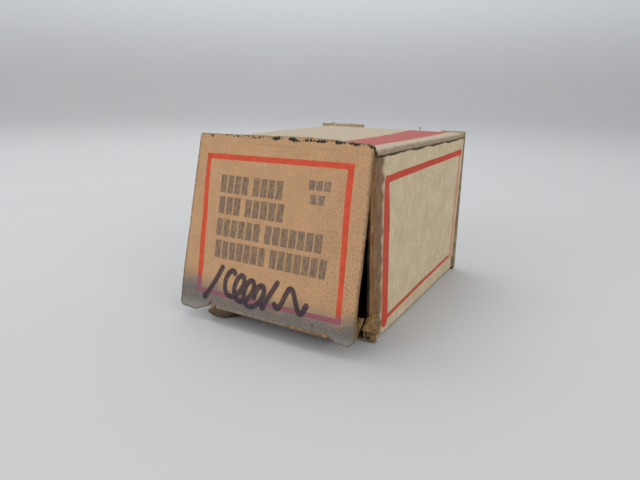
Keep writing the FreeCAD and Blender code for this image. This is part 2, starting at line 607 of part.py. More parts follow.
def make_contact_block(name, up):
    """One contact block; up is 1 above the switch's axis and -1 below it."""
    def box(x, s, z):
        return on_axis(x, s, sorted(up * v for v in z))

    centre = up * PLUNGER_Z
    half = BLOCK_HALF_X
    z_in = (BLOCK_Z[0] + WALL, BLOCK_Z[1] - WALL)
    s_in = (BLOCK_FRONT + WALL, COVER_AT)

    housing = box((-half, half), (BLOCK_FRONT, COVER_AT), BLOCK_Z)
    housing = housing.cut(box((WALL - half, half - WALL), s_in, z_in))
    fixed, clamps, screws, fixings = [], [], [], []
    cover = box((-half, half), (COVER_AT, BLOCK_BACK), BLOCK_Z)
    guide_x = CARRIER_HALF_X + 2 * GUIDE_GAP
    fixing_z = up * FIXING_Z
    seat = COVER_AT + FIXING_SEAT
    strip_z = (PLUNGER_Z - BRIDGE_HALF_Z, PLUNGER_Z + BRIDGE_HALF_Z)
    for side in (0, 1):
        terminal = (TERMINAL_X, -TERMINAL_X)[side]
        fixing = (FIXING_X, -FIXING_X)[side]
        tip = (TIP_X, -TIP_X)[side]
        rib = box(both_sides(guide_x, guide_x + RIB_T)[side], (s_in[0], RIB_END), z_in)
        ledge = box(both_sides(TERMINAL_X - LEDGE_HALF, half - WALL)[side],
                    (LEDGE_AT, STRIP_AT), z_in)
        boss = rod(FIXING_R + FIXING_WALL, s_in, fixing, fixing_z)
        housing = housing.fuse([rib, ledge, boss])
        housing = housing.cut(rod(FIXING_R + PART_GAP, (BLOCK_FRONT, COVER_AT), fixing, fixing_z))
        housing = housing.cut(rod(TERMINAL_R + 2 * PART_GAP, (LEDGE_AT, STRIP_AT), terminal,
                                  centre))
        entry = box(both_sides(half - WALL, half)[side],
                    (HEAD_AT - ENTRY_ROOM[0], COVER_AT - ENTRY_ROOM[1]), strip_z)
        housing = housing.cut(entry)
        cover = cover.cut(rod(TERMINAL_HEAD_R + HEAD_ROOM, (COVER_AT, BLOCK_BACK), terminal,
                              centre))
        cover = cover.cut(rod(FIXING_R + PART_GAP, (COVER_AT, BLOCK_BACK), fixing, fixing_z))
        cover = cover.cut(rod(FIXING_HEAD_R + 2 * PART_GAP, (seat, BLOCK_BACK), fixing, fixing_z))
        strip = box(both_sides(*STRIP_X)[side], (STRIP_AT, STRIP_AT + STRIP_T), strip_z)
        strip = strip.fuse(rod(TIP_R, (STRIP_AT - TIP_T, STRIP_AT), tip, centre))
        fixed.append(strip.cut(rod(TERMINAL_R + PART_GAP, (STRIP_AT, STRIP_AT + STRIP_T),
                                   terminal, centre)))
        clamp_s = (STRIP_AT + STRIP_T + PART_GAP, HEAD_AT - PART_GAP)
        clamp = on_axis((terminal - CLAMP_HALF, terminal + CLAMP_HALF), clamp_s,
                        (centre - CLAMP_HALF, centre + CLAMP_HALF))
        clamps.append(clamp.cut(rod(TERMINAL_R + PART_GAP, clamp_s, terminal, centre)))
        head_end = HEAD_AT + TERMINAL_HEAD_T
        head = rod(TERMINAL_HEAD_R, (HEAD_AT, head_end), terminal, centre)
        slot = on_axis((terminal - TERMINAL_HEAD_R, terminal + TERMINAL_HEAD_R),
                       (head_end - SLOT_DEPTH, head_end),
                       (centre - SLOT_W / 2, centre + SLOT_W / 2))
        shank = rod(TERMINAL_R, (STRIP_AT - TERMINAL_REACH, HEAD_AT), terminal, centre)
        screws.append(head.cut(slot).fuse(shank).removeSplitter())
        fixing_head = rod(FIXING_HEAD_R, (seat, BLOCK_BACK - PART_GAP), fixing, fixing_z)
        width, deep = FIXING_SLOT
        slot = on_axis((fixing - FIXING_HEAD_R, fixing + FIXING_HEAD_R),
                       (BLOCK_BACK - deep, BLOCK_BACK),
                       (fixing_z - width / 2, fixing_z + width / 2))
        shank = rod(FIXING_R, (ADAPTER_AT[1] - ADAPTER_WALL - FIXING_REACH, seat), fixing,
                    fixing_z)
        fixings.append(fixing_head.cut(slot).fuse(shank).removeSplitter())
    housing = housing.cut(rod(PLUNGER_R + GUIDE_GAP, (BLOCK_FRONT, s_in[0]), 0, centre))
    parts[name + "_block_housing"] = housing.removeSplitter()
    parts[name + "_block_cover"] = cover
    parts[name + "_fixed_contacts"] = Part.makeCompound(fixed)
    parts[name + "_terminal_clamps"] = Part.makeCompound(clamps)
    parts[name + "_terminal_screws"] = Part.makeCompound(screws)
    parts[name + "_fixing_screws"] = Part.makeCompound(fixings)
    make_plunger(name, box, centre)


def make_plunger(name, box, centre):
    """The push rod, the carrier with its contact bridge, and their two springs."""
    nose = CAM_MID + PLUNGER_GAP + PLUNGER_R
    ball = Part.makeSphere(PLUNGER_R, Vector(0, PANEL_Y + nose, AXIS_Z + centre))
    push_rod = rod(PLUNGER_R, (nose, CARRIER[0]), 0, centre).fuse(ball)
    parts[name + "_push_rod"] = push_rod.removeSplitter()
    mid = PLUNGER_Z
    bridge_s = (BRIDGE_AT, BRIDGE_AT + BRIDGE_T)
    window_s = (BRIDGE_AT - WINDOW_L, bridge_s[1])
    carrier = box((-CARRIER_HALF_X, CARRIER_HALF_X), CARRIER,
                  (mid - CARRIER_HALF_Z, mid + CARRIER_HALF_Z))
    window = box((-CARRIER_HALF_X, CARRIER_HALF_X), window_s,
                 (mid - BRIDGE_HALF_Z - PART_GAP, mid + BRIDGE_HALF_Z + PART_GAP))
    parts[name + "_contact_carrier"] = carrier.cut(window)
    bridge = box((-BRIDGE_HALF_X, BRIDGE_HALF_X), bridge_s,
                 (mid - BRIDGE_HALF_Z, mid + BRIDGE_HALF_Z))
    for x in (-TIP_X, TIP_X):
        bridge = bridge.fuse(rod(TIP_R, (bridge_s[1], bridge_s[1] + TIP_T), x, centre))
    parts[name + "_contact_bridge"] = bridge.removeSplitter()
    parts[name + "_contact_spring"] = spring(CONTACT_R, CONTACT_WIRE_R,
                                             (window_s[0], BRIDGE_AT), CONTACT_TURNS, centre)
    parts[name + "_return_spring"] = spring(RETURN_R, WIRE_R, (CARRIER[1], COVER_AT),
                                            RETURN_TURNS, centre)


make_sleeve()
make_front_closure()
make_rear_closure()
make_dust_flaps()
make_lever()
make_shaft()
make_cam()
make_bushing()
make_front_hardware()
make_adapter()
make_contact_block("upper", 1)
make_contact_block("lower", -1)

os.makedirs("parts", exist_ok=True)
for node, shape in parts.items():
    shape.exportStep("parts/" + node + ".step")
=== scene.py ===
"""A small worn folding carton, its printed end swung open, and the selector switch packed in it.

The object's lengths are millimetres in the frame's axes, until mesh_object() turns them into metres.
The camera, the lights and the floor are in metres. Board pieces are thick sheets: two grids of points,
an outer and an inner face, joined round their rim.
"""

import json
import math

import bpy
import numpy as np
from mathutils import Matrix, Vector


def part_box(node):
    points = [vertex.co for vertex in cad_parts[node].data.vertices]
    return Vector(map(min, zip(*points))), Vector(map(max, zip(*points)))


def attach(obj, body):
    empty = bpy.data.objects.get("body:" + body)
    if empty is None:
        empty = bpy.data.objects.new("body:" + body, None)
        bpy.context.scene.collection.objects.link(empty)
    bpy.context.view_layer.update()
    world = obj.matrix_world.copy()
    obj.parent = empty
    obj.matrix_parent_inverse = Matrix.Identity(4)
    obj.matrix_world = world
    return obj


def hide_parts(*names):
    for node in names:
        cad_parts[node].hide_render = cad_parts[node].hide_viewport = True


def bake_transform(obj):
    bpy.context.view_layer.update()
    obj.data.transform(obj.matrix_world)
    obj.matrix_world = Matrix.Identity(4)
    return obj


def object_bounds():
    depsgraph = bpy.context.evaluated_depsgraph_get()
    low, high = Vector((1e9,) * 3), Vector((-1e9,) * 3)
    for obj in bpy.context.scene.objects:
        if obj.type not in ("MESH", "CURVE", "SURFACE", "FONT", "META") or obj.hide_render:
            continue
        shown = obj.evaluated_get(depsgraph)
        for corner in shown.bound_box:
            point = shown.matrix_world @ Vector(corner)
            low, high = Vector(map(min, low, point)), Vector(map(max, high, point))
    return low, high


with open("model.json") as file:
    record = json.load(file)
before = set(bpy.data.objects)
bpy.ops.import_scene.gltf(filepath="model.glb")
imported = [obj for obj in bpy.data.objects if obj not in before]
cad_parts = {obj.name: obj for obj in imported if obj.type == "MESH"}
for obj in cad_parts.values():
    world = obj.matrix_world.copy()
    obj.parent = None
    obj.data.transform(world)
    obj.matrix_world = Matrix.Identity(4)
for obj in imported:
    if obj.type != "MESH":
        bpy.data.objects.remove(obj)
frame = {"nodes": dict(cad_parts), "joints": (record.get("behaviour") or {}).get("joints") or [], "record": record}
CAD_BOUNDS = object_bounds()
MM = 0.001

# ---- sizes taken from the frame ----
JOINTS = {joint["name"]: joint for joint in frame["joints"]}


def box_mm(node):
    """A CAD node's low and high corners."""
    low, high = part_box(node)
    return np.array(low) / MM, np.array(high) / MM


def pivot(joint):
    """A point on a crease's axis."""
    return np.array(JOINTS[joint]["pos_m"]) / MM


LEFT = box_mm("left_panel")[0][0]
RIGHT = box_mm("right_panel")[1][0]
FRONT, REAR = box_mm("top_panel")[0][1], box_mm("top_panel")[1][1]
TOP = box_mm("left_panel")[1][2]
LENGTH = REAR - FRONT
SEAM = box_mm("right_panel")[1][2]
GLUE_LOW = box_mm("glue_flap")[0][2]
SIDE_X = {"left": LEFT, "right": RIGHT}
OUTWARD = {"left": -1, "right": 1}
BOX_MARGIN = 0.01
BOX_LOW = np.array(CAD_BOUNDS[0]) / MM + BOX_MARGIN
BOX_HIGH = np.array(CAD_BOUNDS[1]) / MM - BOX_MARGIN

CLOSURE_PIVOT = pivot("front_closure_crease")
TUCK_PIVOT = pivot("front_tuck_crease")
X = np.array([1.0, 0.0, 0.0])
Z = np.array([0.0, 0.0, 1.0])
FOLD_DEPTH = np.linalg.norm(TUCK_PIVOT - CLOSURE_PIVOT)
CLOSURE_DOWN = (TUCK_PIVOT - CLOSURE_PIVOT) / FOLD_DEPTH
CLOSURE_OUT = np.cross(CLOSURE_DOWN, X)
CLOSURE_ROOT = CLOSURE_PIVOT * (Z + [0, 1, 0])
TUCK_ROOT = TUCK_PIVOT * (Z + [0, 1, 0])

# ---- the board, and what age has done to it ----
BOARD = 0.5
FOLD_R = 0.9          # the sleeve's folds
SKIN = 0.12           # a crease's skin
LEAN = 1.2            # the sleeve's top front edge has moved this far to the left
REAR_LEAN = 0.85      # and its top rear edge this far to the right
REAR_DROP = 0.35      # its top right rear corner has sunk
BEVEL_LENGTH = 4.0    # the right panel's front edge is rolled inward over this length
BEVEL_IN = 1.65
SHEET_GAP = 0.03      # the glue flap behind the right panel
SKIN_RISE = 0.03      # a crease's skin over the closure's face

# ---- colours, 0 to 255 in display values ----
TAN = (177, 140, 104)
CREAM = (206, 187, 153)
# the top face's cream: a little greyer than the sides, and darker as painted shade
CREAM_TOP_WITH_SHADE = (166, 152, 132)
RED = (204, 72, 42)
RED_SIDE = (190, 58, 34)
RED_TOP = (160, 72, 62)
MAUVE = (146, 74, 88)
TYPE_INK = (84, 76, 66)
MARKER_INK = (44, 31, 42)
STAIN = (78, 86, 87)
STAIN_EDGE = (112, 120, 122)
RAW = (150, 112, 66)
RUST = (86, 56, 32)
SCUFF = (116, 98, 70)
DARK = (30, 24, 18)
FLOOR = (187, 187, 188)
BACKDROP = (216, 218, 222)


def linear(colour):
    """A display colour as the linear RGBA that shaders take."""
    share = np.array(colour, float) / 255
    value = np.where(share <= 0.04045, share / 12.92, ((share + 0.055) / 1.055) ** 2.4)
    return (*value, 1.0)


def shade(colour, share):
    """A display colour made darker or lighter, as linear RGBA."""
    return linear(np.minimum(np.array(colour) * share, 255))


# ---- number helpers ----
def smooth(value, low, high):
    """0 at low, 1 at high, eased between; low may be above high."""
    t = np.clip((value - low) / (high - low), 0, 1)
    return t * t * (3 - 2 * t)


def wander(value, size, seed, waves=6):
    """Smooth noise in about -1 to 1 along one number, with bends about size apart."""
    random = np.random.default_rng(seed)
    total = 0
    for _ in range(waves):
        rate = 2 * math.pi / size * random.uniform(0.35, 1.9)
        total = total + np.sin(value * rate + random.uniform(0, 2 * math.pi))
    return total / math.sqrt(waves) / 1.3


def patches(u, v, size, seed):
    """Smooth noise in about -1 to 1 over a surface."""
    random = np.random.default_rng(seed)
    total = 0
    for _ in range(9):
        angle = random.uniform(0, math.pi)
        rate = 2 * math.pi / size * random.uniform(0.5, 1.6)
        along = u * math.cos(angle) + v * math.sin(angle)
        total = total + np.sin(along * rate + random.uniform(0, 2 * math.pi))
    return total / 3.6


def stations(*spans):
    """Rising stations from (start, end, step) spans that follow on."""
    parts = [np.linspace(a, b, max(2, int(round((b - a) / step)) + 1)) for a, b, step in spans]
    return np.unique(np.round(np.concatenate(parts), 5))


def inside_box(u, v, low, high):
    """Distance into a rectangle, positive inside."""
    du = np.minimum(u - low[0], high[0] - u)
    dv = np.minimum(v - low[1], high[1] - v)
    return np.minimum(du, dv)


def inside_stroke(u, v, start, end, width):
    """Distance into a straight printed line, positive inside."""
    start, end = np.array(start, float), np.array(end, float)
    run = end - start
    t = np.clip(((u - start[0]) * run[0] + (v - start[1]) * run[1]) / (run @ run), 0, 1)
    return width / 2 - np.hypot(u - start[0] - t * run[0], v - start[1] - t * run[1])


def inside_path(u, v, path, width):
    """Distance into a pen line along many points, positive inside."""
    best = np.full(u.shape, 1e9)
    for (x, y), w in zip(path, width):
        best = np.minimum(best, np.hypot(u - x, v - y) - w / 2)
    return -best


# ---- meshes ----
def mesh_object(name, points, faces, materials, face_material, fields=None, sharp_deg=38):
    """A mesh from points in millimetres, with one float per point for each field."""
    mesh = bpy.data.meshes.new(name)
    points = np.clip(np.asarray(points), BOX_LOW, BOX_HIGH) * MM
    mesh.from_pydata(points.tolist(), [], np.asarray(faces).tolist())
    for material in materials:
        mesh.materials.append(material)
    mesh.polygons.foreach_set("material_index", np.asarray(face_material, dtype=np.int32))
    mesh.polygons.foreach_set("use_smooth", np.ones(len(mesh.polygons), dtype=bool))
    mesh.set_sharp_from_angle(angle=math.radians(sharp_deg))
    for field, values in (fields or {}).items():
        values = np.asarray(values, dtype=np.float32)
        kind = "FLOAT_VECTOR" if values.ndim == 2 else "FLOAT"
        attribute = mesh.attributes.new(field, kind, "POINT")
        attribute.data.foreach_set("vector" if values.ndim == 2 else "value", values.ravel())
    mesh.validate()
    piece = bpy.data.objects.new(name, mesh)
    bpy.context.scene.collection.objects.link(piece)
    return piece


def grid_quads(rows, columns, first=0, flip=False):
    """Faces of a grid of points stored row by row."""
    index = np.arange(rows * columns).reshape(rows, columns) + first
    quads = np.stack([index[:-1, :-1], index[:-1, 1:], index[1:, 1:], index[1:, :-1]], -1)
    quads = quads.reshape(-1, 4)
    return quads[:, ::-1] if flip else quads


def rim_quads(rows, columns, count, first=0):
    """Faces round a grid's edge, joining it to its twin that starts count points on."""
    index = np.arange(rows * columns).reshape(rows, columns) + first
    loop = np.concatenate([index[0, :-1], index[:-1, -1], index[-1, :0:-1], index[:0:-1, 0]])
    ahead = np.roll(loop, -1)
    return np.stack([ahead, loop, loop + count, ahead + count], -1)


def board_piece(name, outer, inner, materials, fields):
    """A thick sheet from two grids; materials are its outer face, inner face and cut rim."""
    rows, columns = outer.shape[:2]
    count = rows * columns
    points = np.concatenate([outer.reshape(-1, 3), inner.reshape(-1, 3)])
    front = grid_quads(rows, columns)
    back = grid_quads(rows, columns, count, True)
    rim = rim_quads(rows, columns, count)
    faces = np.concatenate([front, back, rim])
    face_material = [0] * len(front) + [1] * len(back) + [2] * len(rim)
    doubled = {}
    for field, values in fields.items():
        flat = np.asarray(values, float)
        flat = flat.reshape(count, -1) if flat.ndim == 3 else flat.reshape(count)
        doubled[field] = np.concatenate([flat, flat])
    return mesh_object(name, points, faces, materials, face_material, doubled)


def surface_normals(grid):
    """Unit normals of a grid of points, rows crossed with columns."""
    along = np.gradient(grid, axis=1)
    down = np.gradient(grid, axis=0)
    normal = np.cross(along, down)
    return normal / np.maximum(np.linalg.norm(normal, axis=-1, keepdims=True), 1e-9)


def board_field(u, v, w=0.0):
    """Places on the flat blank, for the grain of its board."""
    return np.stack([u, v, np.zeros_like(u) + w], -1)


# ---- materials ----
class Graph:
    """One material's nodes; each call takes sockets or numbers and returns a socket."""

    def __init__(self, name):
        self.material = bpy.data.materials.new(name)
        self.material.use_nodes = True
        self.tree = self.material.node_tree
        self.shader = self.tree.nodes["Principled BSDF"]

    def put(self, socket, value):
        if isinstance(value, bpy.types.NodeSocket):
            self.tree.links.new(value, socket)
        else:
            socket.default_value = value

    def node(self, kind, **settings):
        node = self.tree.nodes.new("ShaderNode" + kind)
        for key, value in settings.items():
            setattr(node, key, value)
        return node

    def math(self, operation, *inputs):
        node = self.node("Math", operation=operation)
        for socket, value in zip(node.inputs, inputs):
            self.put(socket, value)
        return node.outputs[0]

    def mix(self, amount, a, b, blend="MIX"):
        node = self.node("Mix", data_type="RGBA", blend_type=blend)
        for index, value in ((0, amount), (6, a), (7, b)):
            self.put(node.inputs[index], value)
        return node.outputs[2]

    def over(self, colour, mask, share, tint):
        """The colour with a tint laid over it, as far as the mask and its share say."""
        return self.mix(self.math("MULTIPLY", mask, share), colour, tint)

    def ease(self, value, low, high, start=0.0, end=1.0):
        node = self.node("MapRange", interpolation_type="SMOOTHSTEP")
        for socket, number in zip(node.inputs, (value, low, high, start, end)):
            self.put(socket, number)
        return node.outputs[0]

    def scaled(self, vector, scale):
        node = self.node("VectorMath", operation="MULTIPLY")
        self.put(node.inputs[0], vector)
        self.put(node.inputs[1], scale)
        return node.outputs[0]

    def noise(self, vector, scale, detail=3.0, roughness=0.55):
        node = self.node("TexNoise")
        self.put(node.inputs["Vector"], vector)
        self.put(node.inputs["Scale"], scale)
        self.put(node.inputs["Detail"], detail)
        self.put(node.inputs["Roughness"], roughness)
        return node.outputs[0]

    def field(self, name):
        return self.node("Attribute", attribute_name=name).outputs["Fac"]

    def places(self, name):
        return self.node("Attribute", attribute_name=name).outputs["Vector"]

    def bump(self, height, strength, distance):
        node = self.node("Bump")
        self.put(node.inputs["Strength"], strength)
        self.put(node.inputs["Distance"], distance)
        self.put(node.inputs["Height"], height)
        if self.shader.inputs["Normal"].is_linked:
            self.put(node.inputs["Normal"], self.shader.inputs["Normal"].links[0].from_socket)
        self.put(self.shader.inputs["Normal"], node.outputs[0])

    def finish(self, colour, roughness):
        self.put(self.shader.inputs["Base Color"], colour)
        self.put(self.shader.inputs["Roughness"], roughness)
        return self.material


def paper(g, tint, speckle=0.35, streak=0.10, mottle=0.12):
    """The board's own colour: mottled, fibrous and speckled."""
    place = g.places("board")
    cloudy = g.noise(place, 0.16, 5.0)
    colour = g.mix(g.ease(cloudy, 0.3, 0.7), shade(tint, 1 - mottle), shade(tint, 1 + mottle / 2))
    down = g.noise(g.scaled(place, (3.2, 0.22, 1)), 1.0, 3.0)
    across = g.noise(g.scaled(place, (0.25, 3.0, 1)), 1.0, 3.0)
    fibre = g.math("ADD", down, g.math("MULTIPLY", across, 0.6))
    colour = g.mix(g.ease(fibre, 0.65, 0.95, streak, 0.0), colour, shade(tint, 0.62))
    colour = g.mix(g.ease(fibre, 0.8, 1.05, 0.0, streak), colour, shade(tint, 1.15))
    grain = g.noise(place, 2.1, 4.0, 0.7)
    dots = g.ease(grain, 0.60, 0.70)
    colour = g.over(colour, dots, speckle, shade(tint, 0.45))
    light_dots = g.ease(g.noise(place, 2.9, 3.0, 0.7), 0.60, 0.72)
    colour = g.over(colour, light_dots, 0.16, shade(tint, 1.3))
    g.bump(fibre, 0.35, 0.00004)
    g.bump(grain, 0.30, 0.00003)
    return colour


def printed(g, colour, field, ink, wobble=0.09, worn=0.15, fade=None):
    """A printed area where field is positive, with an uneven edge and missing flecks."""
    place = g.places("board")
    edge = g.math("MULTIPLY_ADD", g.noise(place, 1.3, 4.0), 2 * wobble, -wobble)
    mask = g.ease(g.math("ADD", g.field(field), edge), -0.06, 0.06)
    flecks = g.ease(g.noise(place, 2.6, 4.0, 0.75), 0.52, 0.74, 1.0, 1.0 - worn)
    mask = g.math("MULTIPLY", mask, flecks)
    if fade is not None:
        mask = g.math("MULTIPLY", mask, fade)
    uneven = g.noise(place, 0.5, 4.0)
    return g.mix(mask, colour, g.mix(g.ease(uneven, 0.35, 0.7), shade(ink, 0.90), linear(ink)))


def word_row(g, u, v, row):
    """The mask of one row of plain print blocks, with hairline gaps and gaps between words."""
    left, top, right, bottom, words = row
    cells = sum(words) + 0.5 * (len(words) - 1)
    pitch = (right - left) / cells
    at, total = 0.0, None
    for count in words:
        place = g.math("MULTIPLY_ADD", u, 1 / pitch, -left / pitch - at)
        block = g.ease(g.math("ABSOLUTE", g.math("SUBTRACT", g.math("FRACT", place), 0.5)),
                       0.45, 0.38)
        span = g.ease(g.math("ABSOLUTE", g.math("SUBTRACT", place, count / 2)),
                      count / 2 + 0.01, count / 2 - 0.01)
        word = g.math("MULTIPLY", block, span)
        total = word if total is None else g.math("MAXIMUM", total, word)
        at += count + 0.5
    mid, half = (top + bottom) / 2, (bottom - top) / 2
    band = g.ease(g.math("ABSOLUTE", g.math("SUBTRACT", v, mid)), half + 0.08, half - 0.12)
    return g.math("MULTIPLY", total, band)


# left, top, right, bottom and the blocks in each word, on the closure
WORD_ROWS = [
    (-17.9, 8.8, 1.7, 13.4, (4, 4)),
    (-17.7, 14.3, 2.8, 18.8, (3, 5)),
    (-17.6, 20.0, 14.3, 24.5, (6, 7)),
    (-17.2, 25.6, 16.2, 30.2, (7, 7)),
]
SMALL_ROWS = [
    (8.4, 7.8, 14.6, 10.2, (3,)),
    (9.2, 11.1, 13.4, 13.5, (2,)),
]


def closure_print():
    """The printed end: red frame, word blocks, a marker scribble, a damp stain, dark cracks."""
    g = Graph("closure_print")
    place = g.places("board")
    split = g.node("SeparateXYZ")
    g.put(split.inputs[0], place)
    u, v = split.outputs[0], split.outputs[1]
    colour = paper(g, TAN, 0.40, 0.12, 0.05)
    warm = g.ease(g.noise(place, 1.4, 4.0, 0.75), 0.35, 0.65, 0.0, 0.30)
    colour = g.mix(warm, colour, linear((214, 158, 104)))
    dense = g.ease(g.noise(place, 3.3, 3.0, 0.75), 0.53, 0.62)
    colour = g.over(colour, dense, g.field("sooty"), shade(TAN, 0.42))
    damp = g.field("stain")
    colour = printed(g, colour, "frame_line", RED, 0.06, 0.12)
    aged = g.ease(damp, 0.05, 0.4)
    colour = printed(g, colour, "frame_line", MAUVE, 0.06, 0.35, aged)
    wear = g.ease(g.noise(place, 1.9, 5.0, 0.8), 0.34, 0.56, 0.62, 1.0)
    streak = g.ease(g.noise(g.scaled(place, (1.6, 0.5, 1)), 1.0, 3.0), 0.38, 0.62, 0.68, 1.0)
    wear = g.math("MULTIPLY", wear, streak)
    for rows, ink, strength in ((WORD_ROWS, TYPE_INK, 0.90), (SMALL_ROWS, (90, 84, 78), 0.88)):
        for row in rows:
            mask = g.math("MULTIPLY", word_row(g, u, v, row), wear)
            colour = g.over(colour, mask, strength, linear(ink))
    blotch = g.ease(g.noise(place, 1.7, 5.0, 0.75), 0.34, 0.66, 0.72, 1.0)
    colour = g.over(colour, g.math("MULTIPLY", damp, blotch), 0.95,
                    g.mix(g.ease(v, 41.5, 44.5), linear(STAIN), linear(STAIN_EDGE)))
    frame_left = g.math("MULTIPLY", g.ease(g.field("frame_line"), -0.05, 0.05),
                        g.ease(g.noise(place, 1.7, 4.0, 0.75), 0.38, 0.58, 0.2, 0.72))
    colour = g.over(colour, frame_left, aged, linear(MAUVE))
    pen = g.ease(g.math("MULTIPLY_ADD", g.noise(place, 1.6, 4.0), 0.16,
                        g.math("ADD", g.field("marker"), -0.08)), -0.10, 0.12)
    dry = g.ease(g.noise(place, 1.1, 4.0, 0.7), 0.35, 0.62, 0.98, 0.84)
    colour = g.over(colour, pen, dry, linear(MARKER_INK))
    edge = g.ease(g.math("ADD", g.field("rim"), g.math("MULTIPLY", g.noise(place, 0.8, 4.0), -1.3)),
                  0.15, -0.55, 0.0, 0.65)
    colour = g.mix(edge, colour, linear((92, 76, 56)))
    crack = g.ease(g.math("ADD", g.field("crack"), g.math("MULTIPLY_ADD",
                   g.noise(place, 1.9, 5.0, 0.75), 0.7, -0.35)), -0.05, 0.10)
    colour = g.mix(crack, colour, linear(DARK))
    olive = g.math("MULTIPLY", g.field("scuff"), g.ease(g.noise(place, 0.9, 4.0), 0.26, 0.45))
    colour = g.mix(olive, colour, g.mix(g.ease(g.noise(place, 1.1, 4.0), 0.38, 0.62),
                                        linear((98, 85, 56)), linear((148, 130, 94))))
    g.bump(g.math("MULTIPLY", crack, -1.0), 0.8, 0.0002)
    return g.finish(colour, g.ease(g.noise(place, 0.7, 3.0), 0.3, 0.7, 0.78, 0.94))


def sleeve_print():
    """The sleeve's clay-coated face: red lines and band, scuffed folds, soft grey smudges."""
    g = Graph("sleeve_print")
    place = g.places("board")
    colour = paper(g, CREAM, 0.14, 0.24, 0.05)
    # Painted shade: the top face takes a darker copy of the cream; the red band keeps its own tone.
    top = g.field("top_face")
    colour = g.over(colour, top, 0.8,
                    g.mix(g.ease(g.noise(place, 0.3, 5.0), 0.3, 0.7), linear(CREAM_TOP_WITH_SHADE),
                          shade(CREAM_TOP_WITH_SHADE, 0.94)))
    smudge = g.ease(g.noise(g.scaled(place, (0.10, 0.06, 1)), 1.0, 4.0, 0.6), 0.48, 0.72)
    colour = g.over(colour, smudge, 0.13, linear((158, 146, 124)))
    faded = g.math("SUBTRACT", 1.0, g.math("MULTIPLY", g.field("faded"), 0.58))
    tone = g.mix(top, linear(RED_SIDE), linear(RED_TOP))
    edge = g.math("MULTIPLY_ADD", g.noise(place, 0.9, 4.0), 0.22, -0.11)
    ink = g.ease(g.math("ADD", g.field("frame_line"), edge), -0.07, 0.07)
    rubbed = g.ease(g.noise(g.scaled(place, (1.5, 0.5, 1)), 1.6, 4.0, 0.7), 0.5, 0.75, 1.0, 0.78)
    colour = g.over(colour, g.math("MULTIPLY", ink, rubbed), faded, tone)
    patch = g.ease(g.noise(g.scaled(place, (1.2, 0.35, 1)), 0.9, 5.0, 0.65), 0.32, 0.62)
    worn = g.mix(g.math("MULTIPLY", patch, 0.75), linear((126, 96, 60)), linear(RUST))
    red = g.ease(g.noise(g.scaled(place, (0.5, 0.16, 1)), 1.0, 4.0), 0.54, 0.64, 0.0, 0.75)
    worn = g.mix(red, worn, linear((112, 50, 28)))
    colour = g.over(colour, g.field("rust"), 0.92, worn)
    rub = g.ease(g.math("ADD", g.field("scuff"), g.math("MULTIPLY_ADD",
                 g.noise(place, 1.3, 5.0, 0.75), 1.2, -0.6)), 0.42, 0.85)
    colour = g.over(colour, rub, 0.72,
                    g.mix(g.ease(g.noise(place, 1.0, 3.0), 0.4, 0.6), linear(SCUFF),
                          linear((150, 134, 100))))
    # The dark line along the seam: dirt in its groove, and painted shade there too.
    seam = g.ease(g.math("ADD", g.field("seam"), g.math("MULTIPLY_ADD",
                  g.noise(place, 1.1, 4.0, 0.7), 0.5, -0.25)), 0.35, 0.75)
    colour = g.over(colour, seam, 0.85, linear((66, 56, 42)))
    g.bump(g.noise(g.scaled(place, (0.8, 0.3, 1)), 0.6, 4.0), 0.25, 0.00015)
    return g.finish(colour, g.ease(g.noise(place, 0.4, 4.0), 0.3, 0.7, 0.62, 0.85))


def raw_board(name, tint, other, speckle=0.4):
    """Unprinted board, torn or aged: two tones in streaks and flecks."""
    g = Graph(name)
    place = g.places("board")
    colour = paper(g, tint, speckle, 0.25, 0.18)
    patch = g.ease(g.noise(g.scaled(place, (1.1, 0.30, 1)), 0.8, 5.0, 0.7), 0.42, 0.60)
    colour = g.over(colour, patch, 0.8, linear(other))
    g.bump(g.noise(place, 2.4, 5.0, 0.75), 0.6, 0.00008)
    return g.finish(colour, g.ease(g.noise(place, 1.0, 3.0), 0.3, 0.7, 0.85, 0.97))


def roll_print():
    """Rubbed brown board: upright streaks from tan to rust, with dark pits."""
    g = Graph("rolled_print")
    place = g.places("board")
    colour = paper(g, (142, 102, 60), 0.45, 0.35, 0.2)
    streak = g.noise(g.scaled(place, (0.22, 2.4, 1)), 1.0, 5.0, 0.65)
    colour = g.mix(g.ease(streak, 0.46, 0.64, 0.0, 0.8), colour, linear((98, 60, 30)))
    patch = g.ease(g.noise(g.scaled(place, (0.13, 0.5, 1)), 1.0, 4.0), 0.50, 0.62, 0.0, 0.75)
    colour = g.mix(patch, colour, linear((136, 66, 38)))
    pale = g.ease(g.noise(g.scaled(place, (0.3, 1.4, 1)), 1.0, 4.0), 0.56, 0.70, 0.0, 0.75)
    colour = g.mix(pale, colour, linear((168, 134, 84)))
    pits = g.ease(g.noise(place, 1.5, 5.0, 0.8), 0.62, 0.72, 0.0, 0.75)
    colour = g.mix(pits, colour, linear(DARK))
    g.bump(streak, 0.7, 0.0002)
    return g.finish(colour, g.ease(streak, 0.3, 0.7, 0.82, 0.95))


def moulded(name, tint, roughness, grain=0.4):
    """Moulded plastic: faint flow marks, a fine sparked grain and dust."""
    g = Graph(name)
    place = g.node("TexCoord").outputs["Object"]
    cloudy = g.noise(place, 160.0, 4.0)
    colour = g.mix(g.ease(cloudy, 0.3, 0.7), shade(tint, 0.86), linear(tint))
    dust = g.ease(g.noise(place, 700.0, 4.0, 0.7), 0.60, 0.75, 0.0, 0.12)
    colour = g.mix(dust, colour, linear((150, 145, 135)))
    g.bump(g.noise(place, 5200.0, 2.0), grain, 0.00002)
    g.bump(g.noise(place, 260.0, 2.0), 0.12, 0.0001)
    return g.finish(colour, g.ease(cloudy, 0.3, 0.7, roughness, roughness + 0.14))


